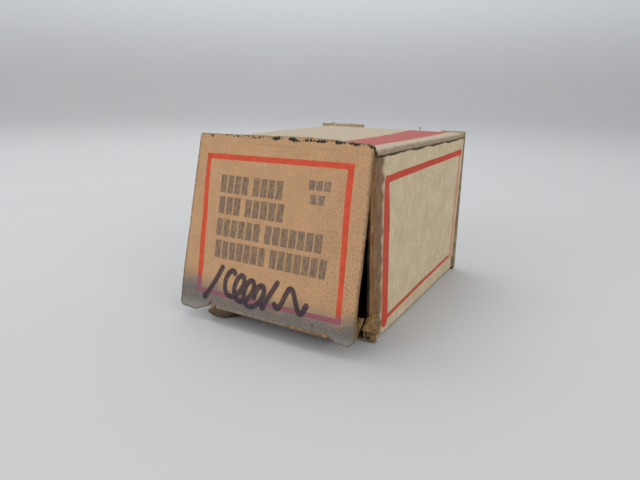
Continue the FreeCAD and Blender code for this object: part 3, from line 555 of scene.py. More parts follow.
def metal(name, tint, roughness, turning=(1.0, 1.0, 1.0), tarnish=(0.5, 0.42, 0.3)):
    """Bare or plated metal: fine tool marks and a patchy tarnish."""
    g = Graph(name)
    g.shader.inputs["Metallic"].default_value = 1.0
    place = g.node("TexCoord").outputs["Object"]
    cloudy = g.noise(place, 330.0, 5.0, 0.65)
    dull = tuple(a * b for a, b in zip(linear(tint)[:3], tarnish))
    colour = g.mix(g.ease(cloudy, 0.45, 0.75, 0.0, 0.6), linear(tint), (*dull, 1.0))
    marks = g.noise(g.scaled(place, tuple(v * 900.0 for v in turning)), 2.0, 3.0)
    g.bump(marks, 0.25, 0.00002)
    return g.finish(colour, g.ease(g.math("ADD", marks, cloudy), 0.7, 1.3, roughness,
                                   roughness + 0.22))


def rubber(name):
    """Black rubber with a pale bloom in its pores."""
    g = Graph(name)
    place = g.node("TexCoord").outputs["Object"]
    bloom = g.ease(g.noise(place, 520.0, 5.0, 0.7), 0.45, 0.75, 0.0, 0.35)
    colour = g.mix(bloom, linear((28, 28, 29)), linear((72, 70, 68)))
    g.bump(g.noise(place, 3000.0, 3.0), 0.4, 0.00003)
    return g.finish(colour, g.ease(bloom, 0.0, 0.35, 0.7, 0.92))


CLOSURE_PRINT = closure_print()
SLEEVE_PRINT = sleeve_print()
# The inside board. Its dark tone also stands in for the black gap behind the closure: painted shade on the dust
# flaps.
INNER_BOARD_AND_GAP_SHADE = raw_board("inner_board_and_gap_shade", (104, 84, 62), (84, 66, 48), 0.5)
CUT_EDGE = raw_board("cut_edge", RAW, (104, 74, 44))
DARK_EDGE = raw_board("dark_edge", (96, 78, 52), (46, 38, 26))
RIM_BOARD = raw_board("rim_board", (122, 110, 78), (70, 60, 42))
ROLL_PRINT = roll_print()
TUCK_BOARD = raw_board("tuck_board", (140, 128, 108), (108, 98, 84), 0.3)
REAR_EDGE = raw_board("rear_edge", (110, 96, 64), (70, 60, 40), 0.3)
TORN_BOARD = raw_board("torn_board", (156, 116, 70), (104, 66, 36))
CRUSHED_BOARD = raw_board("crushed_board", (160, 130, 82), (116, 86, 50), 0.3)
SCRAP_BOARD = raw_board("scrap_board", (158, 128, 76), (118, 84, 44), 0.3)
REAR_BOARD = raw_board("rear_board", (186, 168, 136), (150, 132, 98), 0.2)

SWITCH_FINISHES = {
    "bright_metal": metal("bright_metal_detail", (205, 205, 206), 0.14),
    "black_rubber": rubber("black_rubber_detail"),
    "black_plastic": moulded("black_plastic_detail", (34, 34, 36), 0.42),
    "grey_plastic": moulded("grey_plastic_detail", (128, 130, 132), 0.46),
    "white_plastic": moulded("white_plastic_detail", (226, 226, 220), 0.36, 0.2),
    "natural_plastic": moulded("natural_plastic_detail", (222, 214, 192), 0.40, 0.25),
    "plated_steel": metal("plated_steel_detail", (196, 192, 182), 0.30),
    "spring_steel": metal("spring_steel_detail", (168, 170, 174), 0.26, (0.2, 2.0, 0.2)),
    "contact_brass": metal("contact_brass_detail", (214, 176, 98), 0.26),
}


# ---- the sleeve ----
def settled(points):
    """The sleeve's lean, most at its top front edge."""
    moved = np.array(points, float)
    back = smooth(moved[..., 1], FRONT, REAR)
    high = np.clip(moved[..., 2] / TOP, 0, 1.1)
    right = smooth(moved[..., 0], LEFT, RIGHT)
    moved[..., 0] += high * (REAR_LEAN * back - LEAN * (1 - back))
    moved[..., 2] -= REAR_DROP * high * back * right
    return moved


def sleeve_section():
    """Outer points round the sleeve, and inner ones half a board in: from the right panel's
    cut edge, down and round by the left, over the top and down behind it as the glue flap."""
    corners = [(RIGHT - FOLD_R, FOLD_R, 0), (LEFT + FOLD_R, FOLD_R, -90),
               (LEFT + FOLD_R, TOP - FOLD_R, -180), (RIGHT - FOLD_R, TOP - FOLD_R, -270)]
    outer, normal = [], []

    def line(start, end, out, step=0.6):
        start, end = np.array(start, float), np.array(end, float)
        count = max(2, int(np.linalg.norm(end - start) / step))
        for t in np.linspace(0, 1, count, endpoint=False):
            outer.append(start + (end - start) * t)
            normal.append(out)

    def bend(cx, cz, start_deg, turn_deg=-90, steps=7):
        for t in np.linspace(0, 1, steps, endpoint=False):
            angle = math.radians(start_deg + turn_deg * t)
            out = np.array([math.cos(angle), math.sin(angle)])
            outer.append(np.array([cx, cz]) + FOLD_R * out)
            normal.append(out)

    line((RIGHT, SEAM), (RIGHT, SEAM - 3), (1, 0), 0.3)
    line((RIGHT, SEAM - 3), (RIGHT, FOLD_R), (1, 0), 0.45)
    bend(*corners[0])
    line((RIGHT - FOLD_R, 0), (LEFT + FOLD_R, 0), (0, -1), 1.2)
    bend(*corners[1])
    line((LEFT, FOLD_R), (LEFT, TOP - FOLD_R), (-1, 0), 1.2)
    bend(*corners[2])
    line((LEFT + FOLD_R, TOP), (RIGHT - FOLD_R, TOP), (0, 1), 0.6)
    bend(*corners[3])
    tuck_x = RIGHT - BOARD - SHEET_GAP
    line((RIGHT, TOP - FOLD_R), (RIGHT - 0.05, SEAM + 0.35), (1, 0), 0.15)
    line((RIGHT - 0.05, SEAM + 0.35), (tuck_x, SEAM - 0.5), (0.85, -0.5), 0.15)
    line((tuck_x, SEAM - 0.5), (tuck_x, GLUE_LOW), (1, 0), 0.8)
    outer.append(np.array([tuck_x, GLUE_LOW]))
    normal.append((1, 0))
    outer = np.array(outer)
    return outer, outer - BOARD * np.array(normal, float)


def sleeve_lines(y, z):
    """The right panel's red frame, as distance inside its lines. y is from the front end."""
    wave = 0.08 * wander(z, 14.0, 5)
    swell = smooth(z, 37, 30)
    front = inside_stroke(y + wave - 0.45 * swell, z, (5.8, 38.6), (5.3, 3.6), 2.75 + 0.9 * swell)
    square = inside_box(y, z, (4.3, 2.6), (6.3, 4.4))
    upper = inside_stroke(y, z + 0.03 * wander(y, 30.0, 6), (5.7, 38.9), (60.9, 40.4), 1.75)
    lower = inside_stroke(y, z, (5.4, 4.0), (60.6, 5.8), 1.1)
    back = inside_stroke(y, z, (60.5, 39.8), (60.5, 5.8), 2.6)
    frame_line = np.maximum.reduce([front, square, upper, lower, back])
    return frame_line, smooth(y, 58.6, 59.3) * (z < 39.4)


def front_bevel(y, z):
    """How far the right panel's rubbed front edge has rolled inward, y from the front end."""
    reach = np.clip(1 - y / BEVEL_LENGTH, 0, 1) ** 1.5
    return (BEVEL_IN + 0.12 * wander(z, 8, 15) + 0.06 * wander(z, 2.1, 16)) * reach


def make_sleeve():
    """One wrapped board with rounded folds, a lapped seam and uneven, rubbed ends."""
    section, inner_section = sleeve_section()
    depth = stations((0, 4, 0.25), (4, LENGTH - 3, 0.65), (LENGTH - 3, LENGTH, 0.3))
    rows, columns = len(depth), len(section)
    x = np.broadcast_to(section[:, 0], (rows, columns)).copy()
    z = np.broadcast_to(section[:, 1], (rows, columns)).copy()
    y = np.broadcast_to(depth[:, None], (rows, columns)).copy()
    order = np.broadcast_to(np.arange(columns), (rows, columns))
    is_right = order < np.argmax(section[:, 1] < FOLD_R)
    is_seam_side = (order > columns / 2) & (section[:, 0] > RIGHT - FOLD_R - 0.01)
    is_top = (z > TOP - 0.02) | ((z > TOP - FOLD_R) & (x > RIGHT - FOLD_R) & ~is_right)

    shift = np.zeros((rows, columns, 3))
    mid = np.sin(math.pi * np.clip(y / LENGTH, 0, 1))
    bow = mid * np.sin(math.pi * np.clip(z / TOP, 0, 1))
    shift[..., 0] -= np.where(is_right | is_seam_side, 0.45, 0) * bow
    shift[..., 0] += np.where(x < LEFT + 0.1, 0.5, 0) * bow
    shift[..., 0] -= np.where(is_right, 0.10, 0) * (1 + wander(y, 17, 3)) / 2
    lapped = is_right | (is_seam_side & (z < SEAM + 0.4))
    shift[..., 0] -= np.where(lapped, front_bevel(y, z), 0)
    dip = mid * np.cos(math.pi * x / (RIGHT - LEFT))
    shift[..., 2] -= np.where(is_top, 0.5, 0) * dip
    shift[..., 2] += np.where(is_top & ~is_seam_side, 0.45, 0) * np.exp(-y / 5) * smooth(x, 5, -22)
    seam_wave = 0.20 * wander(y, 11, 8) + 0.10 * wander(y, 3, 9)
    shift[..., 2] += np.where(is_right, 1, 0) * smooth(z, SEAM - 3, SEAM) * (seam_wave - 0.15)
    ends = (smooth(y, 3, 0) - smooth(y, LENGTH - 3, LENGTH))
    shift[..., 1] += ends * (0.10 + 0.10 * wander(order * 0.5, 5, 11))
    crumple = smooth(y, 6, 0) * smooth(z, 9, 1) * smooth(x, RIGHT - 4, RIGHT)
    shift[..., 0] -= 0.3 * crumple * (1 + 0.6 * wander(z + y, 3, 12))
    shift[..., 2] += 0.10 * crumple * (1 + wander(y, 4, 14))

    def place(points):
        grid = np.stack([np.broadcast_to(points[:, 0], (rows, columns)), y + FRONT,
                         np.broadcast_to(points[:, 1], (rows, columns))], -1) + shift
        return settled(grid)

    frame_line, faded = sleeve_lines(y, z)
    band = inside_box(x, y, (7.0, -5), (20.0, LENGTH + 5))
    line = np.where(is_right, frame_line, -5.0)
    line = np.where(is_top, band + 0.1 * wander(y, 20, 4), line)
    run = np.concatenate([[0], np.cumsum(np.linalg.norm(np.diff(section, axis=0), axis=1))])
    u = np.broadcast_to(run, (rows, columns))
    fold = np.zeros((rows, columns))
    for cx, cz in ((RIGHT, 0), (LEFT, 0), (LEFT, TOP), (RIGHT, TOP)):
        near = np.hypot(x - cx, z - cz)
        fold = np.maximum(fold, smooth(near, 2.4, 0.4))
    fold = np.where(is_right & (z > TOP / 2), 0, fold)
    strip = is_seam_side & (z < TOP - 0.3)
    ends_rub = np.maximum(smooth(y, 1.2, 0), smooth(y, LENGTH - 1.2, LENGTH))
    rust = np.where(is_right, smooth(y + 0.4 * wander(z, 6, 21), 4.7, 2.9), 0)
    stain = is_right * np.exp(-((y - 7.2) / 0.9) ** 2) * (0.5 + 0.5 * wander(z, 9, 22))
    stain = stain * smooth(z, 8, 16) * smooth(z, 38, 30)
    rust = np.clip(rust + 0.35 * np.clip(stain, 0, 1), 0, 1)
    # The seam's dark line: dirt and painted shade in the groove under the lap.
    seam = np.where(is_right, smooth(z, SEAM - 0.45, SEAM - 0.1), 0)
    seam = np.where(strip & (z < SEAM + 0.2), 1.0, seam)
    scuff = np.clip(0.7 * fold + 0.55 * ends_rub + 0.35 * strip, 0, 1)
    fields = {
        "board": np.stack([y, u, np.zeros_like(u)], -1),
        "frame_line": line, "faded": np.where(is_right, faded, 0), "rust": rust,
        "scuff": scuff, "seam": seam, "top_face": is_top.astype(float),
    }
    piece = board_piece("sleeve_board", place(section), place(inner_section),
                        [SLEEVE_PRINT, INNER_BOARD_AND_GAP_SHADE, DARK_EDGE], fields)
    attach(piece, "carton_sleeve")
    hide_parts("top_panel", "bottom_panel", "left_panel", "right_panel", "glue_flap")


# ---- the printed end ----
CLOSURE_LOW, CLOSURE_HIGH = box_mm("front_closure_panel")
CLOSURE_LEFT = CLOSURE_LOW[0] + 0.03
CLOSURE_RIGHT = CLOSURE_HIGH[0] - 0.03
EAR_LEFT_END = -18.3         # its lower edge from the left: an ear, a torn notch, the tuck's fold
TEAR_END = -15.2
EAR_RIGHT_START = 18.0       # and another ear
RIDGE_TOP = (BOX_HIGH[2] - CLOSURE_PIVOT[2]) / -CLOSURE_DOWN[2] - 0.10
EAR_LEFT_DEPTH = 44.95
EAR_RIGHT_DEPTH = 44.4
# how far the worn ridge stands above the crease's axis, from left to right
RIDGE_X = (-26.6, -25.7, -14.8, -6.0, 3.0, 7.0, 9.5, 13.5, 22.2, 23.0)
RIDGE_UP = (1.50, 1.60, 1.70, 1.88, 2.02, 2.12, 2.02, 1.84, 1.42, 1.32)
# its back slope: how far behind the crest, and its share of the crest's height
RIDGE_BACK = ((1.45, 0.01), (1.05, 0.10), (0.85, 0.40), (0.68, 0.75), (0.42, 0.96), (0.12, 1.0))


def closure_foot(x):
    """Depth of the closure's lower outline: ear, torn notch, tuck fold, ear with a round corner."""
    ear_left = EAR_LEFT_DEPTH + 0.12 * wander(x, 5, 31) - 0.7 * smooth(x, -25.6, -27.2) ** 2
    ear_left = ear_left - 1.3 * smooth(x, -21.5, -18.0)
    tear = FOLD_DEPTH - 1.1 + 2.2 * np.abs((x + 16.5) / 1.2) ** 1.5 + 0.3 * wander(x, 0.9, 32)
    fold = FOLD_DEPTH - 0.1 + 0.10 * wander(x, 4, 33) + 0.16 * wander(x, 1.1, 34) * smooth(x, 7, 10)
    corner = 2.0
    into = np.clip((x - (CLOSURE_RIGHT - corner)) / corner, 0, 1)
    ear_right = fold + (EAR_RIGHT_DEPTH - FOLD_DEPTH) * smooth(x, EAR_RIGHT_START, 21.4)
    ear_right = ear_right - corner * (1 - np.sqrt(np.clip(1 - into ** 2, 0, 1)))
    foot = np.where(x < EAR_LEFT_END, ear_left, np.minimum(tear, ear_left))
    foot = np.where(x > TEAR_END, fold, foot)
    return np.where(x > EAR_RIGHT_START, ear_right, foot)


def closure_left(v):
    """Its left edge, which leans out towards the foot."""
    return CLOSURE_LEFT + 0.6 * (1 - np.clip(v / 44, 0, 1))


def closure_right(v):
    """Its right edge, which leans in towards the crease."""
    return CLOSURE_RIGHT - 1.15 * np.clip(1 - v / 40, 0, 1) ** 1.75


def closure_head(x):
    """Depth of its upper outline, just below the crease, round at the left corner."""
    corner = 0.8
    into = np.clip((CLOSURE_LEFT + corner - x) / corner, 0, 1)
    return 0.12 + corner * (1 - np.sqrt(np.clip(1 - into ** 2, 0, 1)))


def ridge_height(x):
    """How far the printed face stands up past the crease's axis."""
    left, right = closure_left(0.0), closure_right(0.0)
    height = np.interp(x, RIDGE_X, RIDGE_UP) + 0.05 * wander(x, 7, 81) + 0.04 * wander(x, 1.5, 82)
    into = np.clip(1 - np.minimum((x - left) / 0.9, (right - x) / 0.4), 0, 1)
    return np.minimum(height, RIDGE_TOP) - 0.8 * (1 - np.sqrt(np.clip(1 - into ** 2, 0, 1)))


def closure_point(u, depth, height):
    """A point on the closure: across, down from its crease, and out from its middle."""
    return (CLOSURE_ROOT + u[..., None] * X + depth[..., None] * CLOSURE_DOWN
            + height[..., None] * CLOSURE_OUT)


def pen_strokes():
    """A marker scribble: leaning strokes, a coil of loops and a wave. Points and widths."""
    t = np.linspace(0, 1, 60)
    first = np.stack([-13.8 - 4.8 * t + 0.3 * np.sin(3 * t), 32.4 + 8.4 * t], -1)
    turn = np.linspace(-0.6, 2.75, 190)
    depth = 36.2 + 0.7 * turn + 3.1 * np.cos(2 * math.pi * turn)
    coil = np.stack([-9.8 + 3.3 * turn + 2.0 * np.sin(2 * math.pi * turn)
                     - 0.25 * (depth - 36.8), depth], -1)
    second = np.stack([3.4 - 3.6 * t, 33.3 + 6.7 * t], -1)
    wave = np.stack([3.2 + 8.8 * t, 36.7 - 2.7 * np.sin(2 * math.pi * (1.35 * t + 0.62))], -1)
    strokes, widths = [], []
    for path, swell in ((first, 1.0), (coil, 0.25), (second, 1.0), (wave, 0.35)):
        share = np.linspace(0, 1, len(path))
        strokes.append(path)
        widths.append(1.42 + 0.45 * swell * smooth(share, 0.9, 1.0))
    return np.concatenate(strokes), np.concatenate(widths)


def closure_fields(u, v):
    """The closure's print and wear, by place across and down."""
    left = -23.3 + 1.35 * smooth(v, 3, 40) + 0.12 * wander(v, 25, 41)
    right = 19.7 + 1.5 * smooth(v, 3, 40)
    upper = 3.55 - 0.35 * (u + 23.9) / 43
    lower = 40.1 - 0.5 * (u + 22.5) / 43
    within = np.minimum(np.minimum(u - left, right - u), np.minimum(v - upper, lower - v))
    line = np.full(u.shape, -5.0)
    for edge, width in (((u - left), 1.4 + 0.3 * smooth(v, 3, 40)),
                        ((right - u), 1.65 - 0.35 * smooth(v, 3, 40)),
                        ((v - upper), 1.42), ((lower - v), 1.2)):
        line = np.maximum(line, np.minimum(width - edge, within))
    path, widths = pen_strokes()
    marker = inside_path(u, v, path, widths)
    hem = 37.0 + 1.2 * wander(u, 13, 42) - 2.2 * smooth(u, -16, -26) + 0.6 * smooth(u, 5, 20)
    stain = smooth(v, hem - 2.2, hem + 4.0)
    stain = np.maximum(stain, 0.85 * smooth(v, 32, 41) * smooth(u, -23.2, -26.6))
    sooty = 0.30 + 0.34 * smooth(u, -5, 22) * smooth(v, -4, 30) + 0.26 * smooth(u, 6, 24)
    rim = np.minimum(u - closure_left(v), closure_right(v) - u)
    rim = np.minimum(rim, closure_foot(u) - v)
    below = 0.62 + 0.3 * np.exp(-((u - 5) / 6) ** 2) - 0.2 * smooth(u, 8, 20)
    crack_at = below - ridge_height(u) + 0.14 * wander(u, 6, 43) + 0.10 * wander(u, 1.7, 44)
    dashes = 0.26 * wander(u, 6.5, 45) + 0.16 * wander(u, 1.3, 46)
    heavy = 0.06 + 0.12 * smooth(u, -19, -14) + 0.16 * smooth(u, -6, 1)
    crack = -0.14 + dashes + heavy - np.abs(v - crack_at) * 0.85
    crack = np.maximum(crack, 0.35 - from_mark(u, v, 14.2, 41.2, 0.9, -0.9))
    return {"board": board_field(u, v), "frame_line": line, "marker": marker, "stain": stain,
            "sooty": sooty, "rim": rim, "crack": crack, "scuff": 0 * v}


def from_mark(u, v, at_u, at_v, reach, slope):
    """Distance from a short slanting crease mark, in half widths."""
    along = (u - at_u) + slope * (v - at_v)
    off = np.abs((v - at_v) - slope * (u - at_u))
    return np.abs(along) / reach * 0.5 + off * 1.2


def closure_height(u, v):
    """How far the aged panel stands out from flat."""
    across = np.clip((u - CLOSURE_LEFT) / (CLOSURE_RIGHT - CLOSURE_LEFT), 0, 1)
    bow = 0.30 * np.sin(math.pi * across) * np.sin(math.pi * np.clip(v / 44, 0, 1))
    curl = smooth(u, 15.5, 25.0) * smooth(v, 31, 45)
    ear = smooth(u, -20, -26) * smooth(v, 38, 45)
    return bow - 1.7 * curl ** 1.6 - 0.35 * ear + 0.05 * patches(u, v, 12, 47)


def make_closure():
    """The printed end panel, on its crease at the top."""
    steps = [EAR_LEFT_END, TEAR_END, EAR_RIGHT_START]
    columns = stations((CLOSURE_LEFT, CLOSURE_RIGHT, 0.25))
    near = [s + d for s in steps for d in (-0.02, 0.02)]
    columns = np.unique(np.concatenate([columns, near]))
    share = stations((0, 2.2, 0.14), (2.2, 39, 0.3), (39, 45, 0.2)) / 45.0
    u = np.broadcast_to(columns, (len(share), len(columns)))
    head, foot = closure_head(columns), closure_foot(columns)
    v = head + (foot - head) * share[:, None]
    reach = (u - CLOSURE_LEFT) / (CLOSURE_RIGHT - CLOSURE_LEFT)
    u = u + (closure_left(v) - CLOSURE_LEFT) * (1 - reach) ** 3
    u = u + (closure_right(v) - CLOSURE_RIGHT) * reach ** 3
    fray = 0.05 * wander(v, 1.3, 51) + 0.08 * wander(v, 5, 52)
    u = u + (np.abs(fray)) * smooth(reach, 0.03, 0.0) - np.abs(fray) * smooth(reach, 0.97, 1.0)
    height = closure_height(u, v)
    outer = closure_point(u, v, height + BOARD / 2)
    inner = closure_point(u, v, height - BOARD / 2)
    piece = board_piece("closure_board", outer, inner, [CLOSURE_PRINT, INNER_BOARD_AND_GAP_SHADE, CUT_EDGE],
                        closure_fields(u, v))
    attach(piece, "front_closure")
    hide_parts("front_closure_panel")


# ---- plain flaps ----
def flap_piece(name, body, node, root, across, away, widths, length, finish, bow=0.2,
               lean=False, seed=60, sag=None):
    """A flap from its crease: widths(d) gives its two side edges at distance d from the crease."""
    out = np.cross(across, away)
    distance = stations((0.25, 1.5, 0.25), (1.5, length, 0.6))
    share = np.linspace(0, 1, 60)
    d = np.broadcast_to(distance[:, None], (len(distance), len(share)))
    low, high = widths(distance)
    u = low[:, None] + (high - low)[:, None] * share
    height = bow * np.sin(math.pi * d / length) + 0.04 * patches(u, d, 9, seed)
    if sag is not None:
        height = height + sag(u, d)

    def face(offset):
        points = root + u[..., None] * across + d[..., None] * away
        points = points + (height + offset)[..., None] * out
        return settled(points) if lean else points

    edge = np.minimum(np.minimum(u - u.min(), u.max() - u), length - d)
    fields = {"board": board_field(u, d), "rim": edge, "crack": np.full(u.shape, -1.0)}
    piece = board_piece(name, face(BOARD / 2), face(-BOARD / 2), finish, fields)
    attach(piece, body)
    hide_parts(node)


def tuck_widths(low, high, length, corner=4.0):
    """A tuck flap's sides, rounded at its free corners."""
    def widths(d):
        into = np.clip((d - (length - corner)) / corner, 0, 1)
        pull = corner * (1 - np.sqrt(np.clip(1 - into ** 2, 0, 1)))
        return low + pull, high - pull
    return widths


def make_front_tuck():
    """The tuck flap behind the closure's lower edge: sunk to the floor, its left corner spread."""
    low, high = box_mm("front_tuck_flap")
    away = -CLOSURE_OUT
    length = (high[1] - TUCK_PIVOT[1] - BOARD / 2) / away[1]
    plain = tuck_widths(low[0], high[0], length)

    def widths(d):
        left, right = plain(d)
        spread = np.interp(d, (0.0, 1.0, 2.2, 4.0, 6.5), (0.0, -2.4, -4.6, -2.6, 0.0))
        return left + spread, right

    def sag(u, d):
        """It droops, but no further than the floor."""
        corner = smooth(u, low[0] + 4, low[0] - 1.5)
        drop = 0.21 * d + 0.75 * corner * np.minimum(d, 4.0)
        most = (TUCK_ROOT + d[..., None] * away)[..., 2] - BOARD / 2 - 0.08
        return -np.minimum(drop, most / -CLOSURE_DOWN[2])

    flap_piece("front_tuck_board", "front_tuck", "front_tuck_flap", TUCK_ROOT, X, away,
               widths, length, [TUCK_BOARD, INNER_BOARD_AND_GAP_SHADE, CUT_EDGE], 0.0, sag=sag)


def make_dust_flap(end, side):
    """A dust flap on a side panel's end; root and reach come from its CAD node."""
    node = f"{end}_dust_flap_{side}"
    low, high = box_mm(node)
    root = pivot(f"{end}_dust_{side}_crease") * np.array([1, 1, 0])
    reach = (low + high) / 2 - root
    reach[2] = 0
    length = 2 * np.linalg.norm(reach) - BOARD / 2
    away = reach / np.linalg.norm(reach)
    steep, mild = math.tan(math.radians(40.0)), math.tan(math.radians(8.0))
    at_low, at_high = (mild, steep) if end == "front" else (steep, mild)

    def widths(d):
        return low[2] + at_low * d, high[2] - at_high * d

    # Both faces take the dark inside board: painted shade for the gap behind the closure.
    flap_piece(node.replace("_flap", "_board"), f"{end}_dust_{side}", node, root,
               Z, away, widths, length, [INNER_BOARD_AND_GAP_SHADE, INNER_BOARD_AND_GAP_SHADE, DARK_EDGE],
               0.15, end == "front", 61)


def make_rear():
    """The rear closure, tucked in under the top panel, with one ear standing proud."""
    root = pivot("rear_closure_crease") * np.array([0, 1, 1])
    low, high = box_mm("rear_closure_panel")
    tuck_low, tuck_high = box_mm("rear_tuck_flap")
    ear = high[2] - root[2]
    fold = tuck_high[2] - root[2] - BOARD / 2
    columns = np.unique(np.concatenate([
        stations((low[0], high[0], 0.5)), [tuck_low[0] - 0.32, tuck_low[0] - 0.28]]))
    share = stations((0.25, 3, 0.25), (3, 44, 1.2), (44, 47, 0.3)) / 47.0
    proud = ear - 0.25 + 0.25 * wander(columns, 5, 71)
    head = np.where(columns < tuck_low[0] - 0.3, proud, fold + 0.1)
    head = np.where(columns > tuck_high[0] + 0.3, ear - 1.1, head)
    u = np.broadcast_to(columns, (len(share), len(columns)))
    v = share[:, None] * head
    height = 0.15 * np.sin(math.pi * v / ear) + 0.04 * patches(u, v, 14, 72)
    points = root + u[..., None] * X + v[..., None] * Z
    outward = np.array([0.0, 1.0, 0.0])
    edge = np.minimum(np.minimum(u - low[0], high[0] - u), head - v)
    fields = {"board": board_field(u, v), "rim": edge, "frame_line": np.full(u.shape, -5.0),
              "rust": 0 * u, "scuff": 0.8 * smooth(edge, 1.6, 0.2), "seam": 0 * u,
              "faded": 0 * u, "top_face": 0 * u}
    outer = points + (np.minimum(height, 0) + BOARD / 2 - 0.02)[..., None] * outward
    inner = points + (np.minimum(height, 0) - BOARD / 2)[..., None] * outward
    piece = board_piece("rear_closure_board", outer[:, ::-1], inner[:, ::-1],
                        [SLEEVE_PRINT, REAR_BOARD, DARK_EDGE],
                        {k: f[:, ::-1] for k, f in fields.items()})
    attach(piece, "rear_closure")
    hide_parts("rear_closure_panel")
    length = root[1] - tuck_low[1]
    tuck_root = root + np.array([0, 0, fold])
    flap_piece("rear_tuck_board", "rear_closure", "rear_tuck_flap", tuck_root, X,
               np.array([0.0, -1.0, 0.0]), tuck_widths(tuck_low[0], tuck_high[0], length), length,
               [INNER_BOARD_AND_GAP_SHADE, REAR_BOARD, DARK_EDGE], -0.1, False, 73)


# ---- creases: skins over the folds between two bodies ----
def sweep(section, spans):
    """A grid of points from the section at each station."""
    return np.stack([section(float(s)) for s in spans])


def skin(name, outer, spans, finish, thickness=SKIN, fields=None, places=None):
    """A thin sheet over a crease, with its section at each station as one row of points."""
    normal = surface_normals(outer)
    if places is None:
        step = np.linalg.norm(np.diff(outer, axis=1), axis=-1)
        run = np.concatenate([np.zeros((len(spans), 1)), np.cumsum(step, axis=1)], axis=1)
        places = (np.broadcast_to(spans[:, None], run.shape), run)
    u, v = places
    flat = {"board": board_field(u, v), "crack": 0 * u - 1, "rim": 0 * u + 9, "scuff": 0 * u,
            "rust": 0 * u, "seam": 0 * u, "frame_line": 0 * u - 5, "marker": 0 * u - 5,
            "stain": 0 * u, "sooty": 0 * u}
    flat.update(fields or {})
    return board_piece(name, outer, outer - normal * thickness, finish, flat)


def front_crease_places(spans):
    """Depth on the closure of each point of the worn ridge, less than 0 above the axis."""
    height = ridge_height(spans)[:, None]
    back = -height - np.array([share for share, _ in RIDGE_BACK])[None, :]
    ends = 0.42 + 0.10 * wander(spans, 2.2, 83)[:, None]
    down = np.linspace(0.06, 1, 14)[None, :]
    return np.concatenate([back, -height + (ends + height) * down], axis=1)


def front_crease_section(x, depths):
    """From the top panel's edge, up over the ridge and down the printed face."""
    lift = -depths[len(RIDGE_BACK)]
    face = BOARD / 2 + SKIN_RISE
    crest = CLOSURE_PIVOT - CLOSURE_DOWN * lift + CLOSURE_OUT * BOARD / 2
    points = []
    for back, share in RIDGE_BACK:
        z = TOP + 0.02 + (crest[2] - TOP) * share
        points.append((x, crest[1] + back, z + 0.04 * float(wander(x + 9 * back, 1.7, 85))
                       * min(1, 4 * back)))
    for depth in depths[len(RIDGE_BACK):]:
        place = CLOSURE_PIVOT + CLOSURE_DOWN * depth + CLOSURE_OUT * face
        points.append((x, place[1], place[2]))
    return np.array(points)


def make_front_crease():
    """The worn fold over the front of the top panel: print in front, a thin rubbed rim on top."""
    spans = stations((closure_left(0.0) + 0.05, closure_right(0.0) - 0.08, 0.2))
    depths = front_crease_places(spans)
    u = np.broadcast_to(spans[:, None], depths.shape)
    fields = closure_fields(u, depths)
    crest = -ridge_height(spans)[:, None]
    fields["scuff"] = smooth(depths, crest + 0.48, crest + 0.22)
    fields["rim"] = np.minimum(u - closure_left(0.0), closure_right(0.0) - u) + 0.3
    outer = np.stack([front_crease_section(float(x), row) for x, row in zip(spans, depths)])
    piece = skin("front_crease_skin", outer, spans, [CLOSURE_PRINT, INNER_BOARD_AND_GAP_SHADE, DARK_EDGE],
                 SKIN, fields, (u, depths))
    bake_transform(piece)


def make_tuck_crease():
    """The fold between the closure and its tuck flap, split and frayed towards the right."""
    low, high = box_mm("front_tuck_flap")
    spans = stations((low[0] + 0.05, high[0] - 0.05, 0.2))

    def section(x):
        points = []
        for t in np.linspace(0, 1, 9):
            angle = math.pi / 2 * t
            out = CLOSURE_OUT * math.cos(angle) + CLOSURE_DOWN * math.sin(angle)
            radius = BOARD / 2 + 0.02 + 0.05 * float(wander(x + 3 * t, 1.6, 91))
            points.append(TUCK_ROOT + out * radius + X * x)
        first = points[0] - CLOSURE_DOWN * 0.5 + CLOSURE_OUT * (0.02 + closure_sag(x))
        last = points[-1] - CLOSURE_OUT * 0.5
        return np.array([first] + points + [last])

    def closure_sag(x):
        return float(closure_height(np.array(x), np.array(FOLD_DEPTH - 0.5)))

    piece = skin("tuck_crease_skin", sweep(section, spans), spans,
                 [TUCK_BOARD, INNER_BOARD_AND_GAP_SHADE, CUT_EDGE])
    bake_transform(piece)


def roll_section(z, side):
    """From a side panel's front edge round to its dust flap's root."""
    root = pivot(f"front_dust_{side}_crease")
    panel_x = SIDE_X[side] + 0.02 * OUTWARD[side]
    lump = 0.16 * float(wander(z, 7, 95)) + 0.08 * float(wander(z, 1.8, 96))
    foot = float(smooth(z, 7, 1.5)) if side == "right" else 0.0
    starts = [1.1, 0.3]
    bevel = [float(front_bevel(y, z)) if side == "right" else 0.0 for y in starts]
    points = [np.array([panel_x - b, FRONT + y, z]) for b, y in zip(bevel, starts)]
    edge_x = panel_x - bevel[1]
    width = abs(edge_x - root[0]) - 0.45 + 0.4 * foot
    for t in np.linspace(0.12, 1, 9):
        angle = math.pi * t
        bulge = (0.30 + lump * 0.5 + 0.30 * foot) * math.sin(angle)
        x = edge_x - OUTWARD[side] * width * (1 - math.cos(angle)) / 2
        points.append(np.array([x, FRONT + 0.1 - bulge, z]))
    points.append(np.array([root[0] - OUTWARD[side] * 0.30, root[1] + 0.8, z]))
    return settled(np.array(points))


def make_roll(side):
    """The crease between a side panel and its front dust flap, rolled and rubbed brown."""
    low, high = box_mm(f"front_dust_flap_{side}")
    spans = stations((max(low[2] + 0.1, 0.9), high[2] - 0.1, 0.3))
    finish = ROLL_PRINT if side == "right" else RIM_BOARD
    outer = sweep(lambda z: roll_section(z, side)[::-OUTWARD[side]], spans)
    piece = skin(f"front_roll_{side}", outer, spans, [finish, INNER_BOARD_AND_GAP_SHADE, DARK_EDGE])
    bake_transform(piece)


